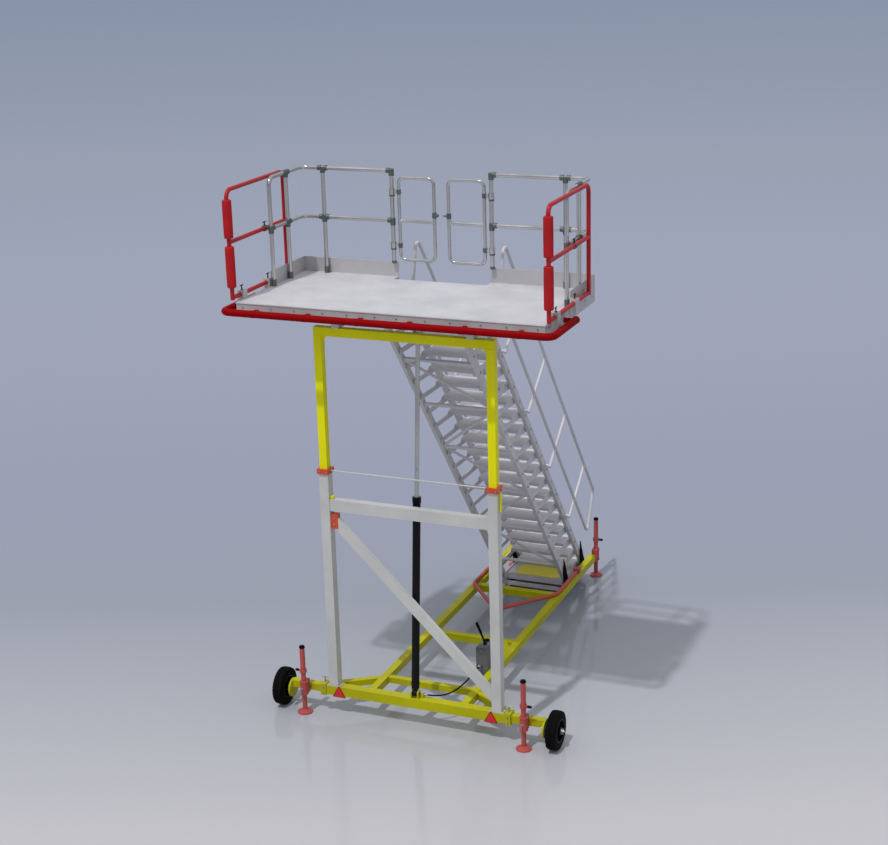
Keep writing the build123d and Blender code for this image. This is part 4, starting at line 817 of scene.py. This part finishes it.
# Tube guards: each side's two rails bend round the rear corner, and the gate post hangs on their ends
kit = Kit()
for side in SIDES:
    out, gate = side * SIDE_GUARD_X, side * GATE_POST_X
    front = (out, SIDE_GUARD_FRONT)
    for z, foot in ((GUARD_TOP, [(*front, DECK_Z)]), (MID_Z, [])):
        rail = [(*front, z), (out, REAR_GUARD_Y, z), (gate, REAR_GUARD_Y, z)]
        kit.bent(foot + rail, RAIL_R, GUARD_BEND)
    for x, y, low in (
        (out, SIDE_POST_Y, DECK_Z),
        (side * REAR_POST_X, REAR_GUARD_Y, DECK_Z),
        (gate, REAR_GUARD_Y, GATE_POST_LOW),
    ):
        kit.tube(((x, y, low), (x, y, GUARD_TOP)), RAIL_R, sides=20)
rails = kit.done("tube_guards", CHROME, "platform")
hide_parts("side_guards", "rear_guards")

# Clamps where the rails meet the posts, hinge rests, sliding guards' guides and locks
SOCKET_R, SOCKET_H = 26, 70
SADDLE_R, SADDLE_DROP, SADDLE_FROM, SADDLE_L = 27, 50, 14, 40
SADDLE_OVER_MID, SADDLE_OVER_TOP = 26, 14
POST_CAP, POST_CAP_RISE = ((0, 0), (0, 26), (4, 25), (7, 18), (8, 0)), 13
POST_PLUG, POST_PLUG_RISE = ((0, RAIL_R - BITE), (0, 24), (22, 24), (30, 18), (32, 0)), 22
HINGE_REST_R, HINGE_REST_DROP, HINGE_REST_H = 28, 47, 16
GUIDE_R, GUIDE_L, GUIDE_PLAY = 30, 44, 1.5
GUIDE_ARM_Y, GUIDE_ARM_Z, GUIDE_ARM_IN, GUIDE_ARM_OUT = 14, 12, 24, 26
# Columns are the post's place and the ways in which its rails leave it
GUARD_POSTS = (
    (SIDE_GUARD_X, SIDE_GUARD_FRONT, ((0, 1),)),
    (SIDE_GUARD_X, SIDE_POST_Y, ((0, -1), (0, 1))),
    (REAR_POST_X, REAR_GUARD_Y, ((-1, 0), (1, 0))),
    (GATE_POST_X, REAR_GUARD_Y, ((1, 0),)),
)
kit = Kit()
for side in SIDES:
    for x, y, ways in GUARD_POSTS:
        if x != GATE_POST_X:
            kit.ring((side * x, y, DECK_Z), UP, RAIL_R - BITE, SOCKET_R, SOCKET_H)
        for z, over in ((MID_Z, SADDLE_OVER_MID), (GUARD_TOP, SADDLE_OVER_TOP)):
            if z == GUARD_TOP and y == SIDE_GUARD_FRONT:
                continue
            kit.ring((side * x, y, z - SADDLE_DROP), UP, RAIL_R - BITE, SADDLE_R, SADDLE_DROP + over)
            for dx, dy in ways:
                saddle = (side * (x + dx * SADDLE_FROM), y + dy * SADDLE_FROM, z)
                kit.ring(saddle, (side * dx, dy, 0), RAIL_R - BITE, SADDLE_R, SADDLE_L)
    gate = (side * GATE_POST_X, REAR_GUARD_Y)
    kit.lathe((*gate, GUARD_TOP + POST_CAP_RISE), (*gate, GUARD_TOP + 21), POST_CAP, sides=28)
    kit.lathe((*gate, GATE_POST_LOW + POST_PLUG_RISE), (*gate, GATE_POST_LOW - 12), POST_PLUG, sides=28)
    for rise in KNUCKLES:
        kit.ring((*gate, DECK_Z + rise - HINGE_REST_DROP), UP, RAIL_R - BITE, HINGE_REST_R, HINGE_REST_H)
    guide = (side * SLIDE_X, SIDE_GUARD_FRONT - GUIDE_L / 2, MID_Z)
    kit.ring(guide, REAR, RAIL_R + GUIDE_PLAY, GUIDE_R, GUIDE_L)
    kit.block(
        (side * (SIDE_GUARD_X + GUIDE_ARM_IN), SIDE_GUARD_FRONT - GUIDE_ARM_Y, MID_Z - GUIDE_ARM_Z),
        (side * (SLIDE_X - GUIDE_ARM_OUT), SIDE_GUARD_FRONT + GUIDE_ARM_Y, MID_Z + GUIDE_ARM_Z),
        chamfer=3,
    )
kit.done("guard_clamps", FITTING, "platform")

GUIDE_LOCK_RISE = 28
kit = Kit()
for side in SIDES:
    kit.tee((side * SLIDE_X, SIDE_GUARD_FRONT, MID_Z + GUIDE_LOCK_RISE), UP, REAR, 36, grip=72)
    for y in RUNNER_Y:
        kit.tee((side * SLIDE_X, y, RUNNER_TOP), UP, REAR, 42, grip=60)
kit.done("guard_locks", BLACK, "platform")

# Gates: a bolt on the right leaf, its keeper on the left one, and rings at the hinges
LATCH_Z, LATCH_R, LATCH_H, LATCH_FROM = MID_Z + 70, 23, 56, 18
GATE_BOLT = ((0, 0), (0, 13), (22, 13), (23, 7), (46, 7), (48, 5), (48, 0))
KEEPER_BORE, KEEPER_R, KEEPER_L, HANDLE_FRONT = 9, 15, 24, 22
HINGE_STILE, HINGE_RING_R, HINGE_RING_H = 455, 22, 48
for side in SIDES:
    kit = Kit()
    stile = side * GATE_STILE
    kit.ring((stile, REAR_GUARD_Y, LATCH_Z - LATCH_H / 2), UP, GATE_R - BITE, LATCH_R, LATCH_H)
    if side > 0:
        kit.lathe((stile - LATCH_FROM, REAR_GUARD_Y, LATCH_Z), (0, REAR_GUARD_Y, LATCH_Z), GATE_BOLT,
                  sides=20)
        kit.tee((stile, REAR_GUARD_Y - HANDLE_FRONT, LATCH_Z), FRONT, UP, 24, grip=44, radius=5)
    else:
        keeper = (stile + LATCH_FROM, REAR_GUARD_Y, LATCH_Z)
        kit.ring(keeper, (1, 0, 0), KEEPER_BORE, KEEPER_R, KEEPER_L)
    for rise in KNUCKLES:
        low = (side * HINGE_STILE, REAR_GUARD_Y, DECK_Z + rise - HINGE_RING_H / 2)
        kit.ring(low, UP, GATE_R - BITE, HINGE_RING_R, HINGE_RING_H)
    kit.done(f"gate_latch_{NAMES[side]}", FITTING, f"gate_leaf_{NAMES[side]}")

# Stair: ribbed treads with round nosings, pivot nuts and handrail fittings
RIBS, RIB_GAP, RIB_R, RIB_SINK, RIB_SETBACK, RIB_INSET = 6, 42, 4, 1, 45, 14
NOSING_R, NOSING_IN = 7.5, 5
FOOT_SHEET_T, FOOT_SHEET_SIDE, FOOT_SHEET_END = 4, 8, 6
TREAD_WELD_END, TREAD_WELD_HALF, TREAD_WELD_DROP, TREAD_WELD_IN = 40, 25, 8, 2
STUB_BORE, STUB_R, STUB_L, HAND_CLAMP_L = 14.5, 30, 8, 44
HAND_PLUG = ((0, 0), (1, 12), (5, HAND_R + 1), (14, HAND_R + 1), (14, 0))
STEP_BODIES = {0: "platform", LAST: "foot"}
for step in range(RISERS):
    y, z = pivot(step)
    nose, top = y + TREAD_NOSE, z + TREAD_LIFT
    heel = nose - TREAD_DEPTH
    kit = Kit()
    if step == LAST:
        wide = TREAD_HALF - FOOT_SHEET_SIDE
        kit.block((-wide, heel + FOOT_SHEET_END, top),
                  (wide, nose - FOOT_SHEET_END, top + FOOT_SHEET_T), chamfer=1.5)
        top += FOOT_SHEET_T
    reach = TREAD_HALF - RIB_INSET
    for k in range(RIBS):
        rib = nose - RIB_SETBACK - RIB_GAP * k
        kit.tube(((-reach, rib, top - RIB_SINK), (reach, rib, top - RIB_SINK)), RIB_R, sides=8)
    if step < LAST:
        edge = (nose - NOSING_IN, top - NOSING_IN)
        kit.tube(((-reach, *edge), (reach, *edge)), NOSING_R, sides=12)
        for side in SIDES:
            x, low = side * (TREAD_HALF - TREAD_WELD_IN), top - TREAD_WELD_DROP
            for along in (heel + TREAD_WELD_END, nose - TREAD_WELD_END):
                ends = (along - TREAD_WELD_HALF, along + TREAD_WELD_HALF)
                kit.weld([(x, end, low) for end in ends], radius=FINE_WELD)
    body = STEP_BODIES.get(step, f"step_{step:02d}")
    kit.done(f"tread_ribs_{step:02d}", STAIR, body)

for chord, setback in (("lower_chords", 0), ("upper_chords", LINK)):
    kit = Kit()
    for step in range(LAST):
        y, z = pivot(step)
        for side in SIDES:
            kit.nut((side * CHORD_OUT, y + setback, z), (side, 0, 0), 13, 6.5)
    kit.done(f"{chord}_nuts", STEEL, chord)

kit = Kit()
square = (0, math.sin(SLOPE), math.cos(SLOPE))
for side in SIDES:
    x = side * HAND_X
    for along in HAND_POSTS:
        kit.ring((side * CHORD_OUT, *on_upper(along, 0)), (side, 0, 0), STUB_BORE, STUB_R, STUB_L)
        clamp = (x, *on_upper(along, HAND_MID_V - HAND_CLAMP_L / 2))
        kit.ring(clamp, square, HAND_R - BITE, HAND_R + 3, HAND_CLAMP_L)
        kit.lathe((x, *on_upper(along, -HAND_R - 8)), (x, *on_upper(along, 0)), HAND_PLUG, sides=20)
kit.done("handrail_fittings", STAIR, "upper_chords")

# Rolling foot: front tray with its yellow plate, boot facings, axle nuts and wheel hubs
foot_y = pivot(LAST)[0]
TRAY_Z, TRAY_T, TRAY_HALF, TRAY_FRONT, TRAY_LOW = 205, 8, 360, foot_y + 32, 128
TRAY_WELD_IN, TRAY_WELD_END = 4, 20
PLATE_HALF, PLATE_T, PLATE_END = 265, 6, 8
PLATE_RIBS, PLATE_RIB_HALF, PLATE_RIB_FIRST, PLATE_RIB_Z = 7, 250, 40, TRAY_Z + 5
BOOT_FACE, BOOT_T, BOOT_BOLT_Y, BOOT_BOLTS = 440, 4, -140, (150, 230, 310)
BOOT_OUTLINE = ((-165, 125), (15, 125), (-165, 480))
FOOT_AXLE_Z, FOOT_AXLE_IN, FOOT_AXLE_END = 60, 110, 374
FOOT_HUB_FACES, FOOT_HUB_BORE, FOOT_HUB_R, FOOT_HUB_L = (340, 300), 12, 30, 6
tray_back = foot_y + TREAD_NOSE - TREAD_DEPTH
kit = Kit()
kit.block((-TRAY_HALF, TRAY_FRONT, TRAY_Z - TRAY_T), (TRAY_HALF, tray_back, TRAY_Z), chamfer=1.5)
kit.block((-TRAY_HALF, TRAY_FRONT, TRAY_LOW), (TRAY_HALF, TRAY_FRONT + TRAY_T, TRAY_Z - 1), chamfer=1.5)
for x in (-TRAY_HALF + TRAY_WELD_IN, TRAY_HALF - TRAY_WELD_IN):
    ends = (TRAY_FRONT + TRAY_WELD_END, tray_back - TRAY_WELD_END)
    kit.weld([(x, end, TRAY_Z) for end in ends], radius=FINE_WELD)
kit.done("foot_tray", STAIR, "foot")
# The yellow plate's pale, bright tone is painted light on top of its yellow paint
kit = Kit()
kit.block((-PLATE_HALF, TRAY_FRONT + PLATE_END, TRAY_Z),
          (PLATE_HALF, tray_back - PLATE_END, TRAY_Z + PLATE_T))
for k in range(PLATE_RIBS):
    rib = TRAY_FRONT + PLATE_RIB_FIRST + RIB_GAP * k
    kit.tube(((-PLATE_RIB_HALF, rib, PLATE_RIB_Z), (PLATE_RIB_HALF, rib, PLATE_RIB_Z)), RIB_R, sides=8)
kit.done("foot_plate", LIT_FOOT_YELLOW, "foot")
kit = Kit()
for side in SIDES:
    face = side * (BOOT_FACE + BOOT_T)
    for link_y in (foot_y, foot_y + LINK):
        kit.plate([(link_y + y, z) for y, z in BOOT_OUTLINE], side * BOOT_FACE, face)
        for z in BOOT_BOLTS:
            kit.bolt((face, link_y + BOOT_BOLT_Y, z), (side, 0, 0), 6)
kit.done("boot_facings", RUBBER, "foot")
for end, y in (("front", foot_y + FOOT_AXLE_IN), ("rear", foot_y + LINK - FOOT_AXLE_IN)):
    kit = Kit()
    for side in SIDES:
        kit.nut((side * FOOT_AXLE_END, y, FOOT_AXLE_Z), (side, 0, 0), 15, 11)
        for x, way in zip(FOOT_HUB_FACES, (side, -side)):
            kit.ring((side * x, y, FOOT_AXLE_Z), (way, 0, 0), FOOT_HUB_BORE, FOOT_HUB_R, FOOT_HUB_L)
    kit.done(f"foot_hubs_{end}", STEEL, f"foot_axle_{end}")

# Hand pump: tank ribs, lid, filler cap, lever grip, drain plug and tank bolts
PUMP_X, PUMP_FACE, PUMP_TOP, PUMP_FRONT, PUMP_REAR = 405, 340, 550, 820, 1040
TANK_RIBS, TANK_RIB_FIRST, TANK_RIB_GAP, TANK_RIB, TANK_RIB_Z = 5, 862, 34, 5, (180, 500)
LID_INSET, LID_OUT, LID_T = 8, 462, 8
FILLER, FILLER_Y, FILLER_RISE = ((0, 0), (0, 26), (12, 26), (16, 22), (16, 0)), 995, 20
LEVER_RUN, LEVER_TIP, GRIP_LENGTH = (-80, -20, 223), (PUMP_X - 80, 910, PUMP_TOP + 245), 120
LEVER_GRIP = (
    (0, 10), (0, 13), (4, 15), (30, 14), (34, 15.5), (60, 14), (64, 15.5),
    (90, 14), (94, 15.5), (122, 14), (128, 8), (129, 0),
)
DRAIN_Y, DRAIN_Z, TANK_BOLTS = 850, 160, (170, 520)
kit = Kit()
for k in range(TANK_RIBS):
    y = TANK_RIB_FIRST + TANK_RIB_GAP * k
    kit.block((PUMP_FACE - TANK_RIB, y - TANK_RIB, TANK_RIB_Z[0]),
              (PUMP_FACE, y + TANK_RIB, TANK_RIB_Z[1]))
kit.block(
    (PUMP_FACE + LID_INSET, PUMP_FRONT + LID_INSET, PUMP_TOP),
    (LID_OUT, PUMP_REAR - LID_INSET, PUMP_TOP + LID_T),
    chamfer=3,
)
kit.done("pump_ribs", PUMP, "chassis")
kit = Kit()
filler = (PUMP_X, FILLER_Y, PUMP_TOP + FILLER_RISE)
kit.lathe(filler, (PUMP_X, FILLER_Y, PUMP_TOP + 60), FILLER, sides=12)
lever_tip = Vector(LEVER_TIP)
kit.lathe(lever_tip - Vector(LEVER_RUN).normalized() * GRIP_LENGTH, lever_tip, LEVER_GRIP, sides=20)
kit.done("pump_cap_and_grip", RUBBER, "chassis")
kit = Kit()
kit.bolt((PUMP_FACE, DRAIN_Y, DRAIN_Z), (-1, 0, 0), 12)
for y, face in ((PUMP_FRONT, FRONT), (PUMP_REAR, REAR)):
    for z in TANK_BOLTS:
        kit.bolt((PUMP_X, y, z), face, 10)
kit.done("pump_bolts", STEEL, "chassis")

# Drawbar: hinge pins and the ring's bush
DRAWBAR_PIN_Y, DRAWBAR_PIN_Z, DRAWBAR_PIN_OUT, DRAWBAR_PIN_IN = 3700, 330, 549.5, 480.5
BUSH_Y, BUSH_Z, BUSH_BORE, BUSH_R, BUSH_H = 2255, 337.5, 20.5, 30, 3
kit = Kit()
for side in SIDES:
    kit.nut((side * DRAWBAR_PIN_OUT, DRAWBAR_PIN_Y, DRAWBAR_PIN_Z), (side, 0, 0), 15, 12)
    kit.nut((side * DRAWBAR_PIN_IN, DRAWBAR_PIN_Y, DRAWBAR_PIN_Z), (-side, 0, 0), 15, 8)
kit.ring((0, BUSH_Y, BUSH_Z), UP, BUSH_BORE, BUSH_R, BUSH_H, sides=32)
kit.done("drawbar_pins", STEEL, "chassis")

# Stage: floor, light and backdrop
FLOOR_HALF, FLOOR_DROP, FLOOR_ROUGH, FLOOR_SPECULAR = 400, 0.0005, 0.1, 0.3
# Columns are metres away from the camera's side and the floor's colour there; the ramp is painted light
# falloff and painted sky reflection, lighter on the camera's side, darker round the object and bluer far
# off
FLOOR_PAINTED_FALLOFF = (
    (-4.0, (192, 190, 193)), (-1.1, (168, 171, 179)), (1.5, (145, 150, 163)), (5.0, (141, 146, 166)),
    (16.8, (149, 154, 174)), (49.0, (137, 148, 166)), (103.0, (124, 139, 168)),
)
FALLOFF_FROM, FALLOFF_TO = -5.0, 105.0
# Columns are the share of the way from straight down to straight up and the shade there
SKY_SHADES = (
    (0.0, (150, 154, 166)), (0.48, (132, 142, 164)), (0.56, (176, 184, 200)),
    (0.68, (236, 239, 245)), (1.0, (244, 246, 250)),
)
SKY_STRENGTH, SUN_STRENGTH, SUN_ANGLE, SUN_WAY = 0.72, 1.6, math.radians(1.5), (0.10, 0.49, -1.0)
corners = [(x * FLOOR_HALF, y * FLOOR_HALF, 0) for x, y in ((-1, -1), (1, -1), (1, 1), (-1, 1))]
ground = bpy.data.meshes.new("floor")
ground.from_pydata(corners, [], [(0, 1, 2, 3)])
floor = bpy.data.objects.new("floor", ground)
floor.location.z = -FLOOR_DROP
bpy.context.collection.objects.link(floor)
concrete = bpy.data.materials.new("pale_floor")
concrete.use_nodes = True
tree = concrete.node_tree
shader = tree.nodes["Principled BSDF"]
shader.inputs["Roughness"].default_value = FLOOR_ROUGH
shader.inputs["Specular IOR Level"].default_value = FLOOR_SPECULAR
place = add(tree, "TexCoord")
away = add(tree, "VectorMath")
away.operation = "DOT_PRODUCT"
away.inputs[1].default_value = (-math.sin(AZIMUTH), math.cos(AZIMUTH), 0)
# The floor's colour follows the view direction: painted falloff of light and painted reflection of the
# sky
depth = add(tree, "MapRange", From_Min=FALLOFF_FROM, From_Max=FALLOFF_TO)
span = FALLOFF_TO - FALLOFF_FROM
painted_falloff = ramp(tree, [((metres - FALLOFF_FROM) / span, shade) for metres, shade in FLOOR_PAINTED_FALLOFF])
tree.links.new(place.outputs["Object"], away.inputs[0])
tree.links.new(away.outputs["Value"], depth.inputs["Value"])
tree.links.new(depth.outputs["Result"], painted_falloff.inputs["Fac"])
tree.links.new(painted_falloff.outputs["Color"], shader.inputs["Base Color"])
ground.materials.append(concrete)

world = bpy.data.worlds.new("studio")
world.use_nodes = True
bpy.context.scene.world = world
tree = world.node_tree
sky = tree.nodes["Background"]
sky.inputs["Strength"].default_value = SKY_STRENGTH
place = add(tree, "TexCoord")
parts = add(tree, "SeparateXYZ")
height = add(tree, "MapRange", From_Min=-1.0)
bands = ramp(tree, SKY_SHADES)
tree.links.new(place.outputs["Generated"], parts.inputs["Vector"])
tree.links.new(parts.outputs["Z"], height.inputs["Value"])
tree.links.new(height.outputs["Result"], bands.inputs["Fac"])
tree.links.new(bands.outputs["Color"], sky.inputs["Color"])
sun = bpy.data.lights.new("key", "SUN")
sun.energy = SUN_STRENGTH
sun.angle = SUN_ANGLE
key = bpy.data.objects.new("key", sun)
key.rotation_euler = Vector(SUN_WAY).to_track_quat("-Z", "Y").to_euler()
bpy.context.collection.objects.link(key)
bpy.context.scene.view_settings.view_transform = "Standard"
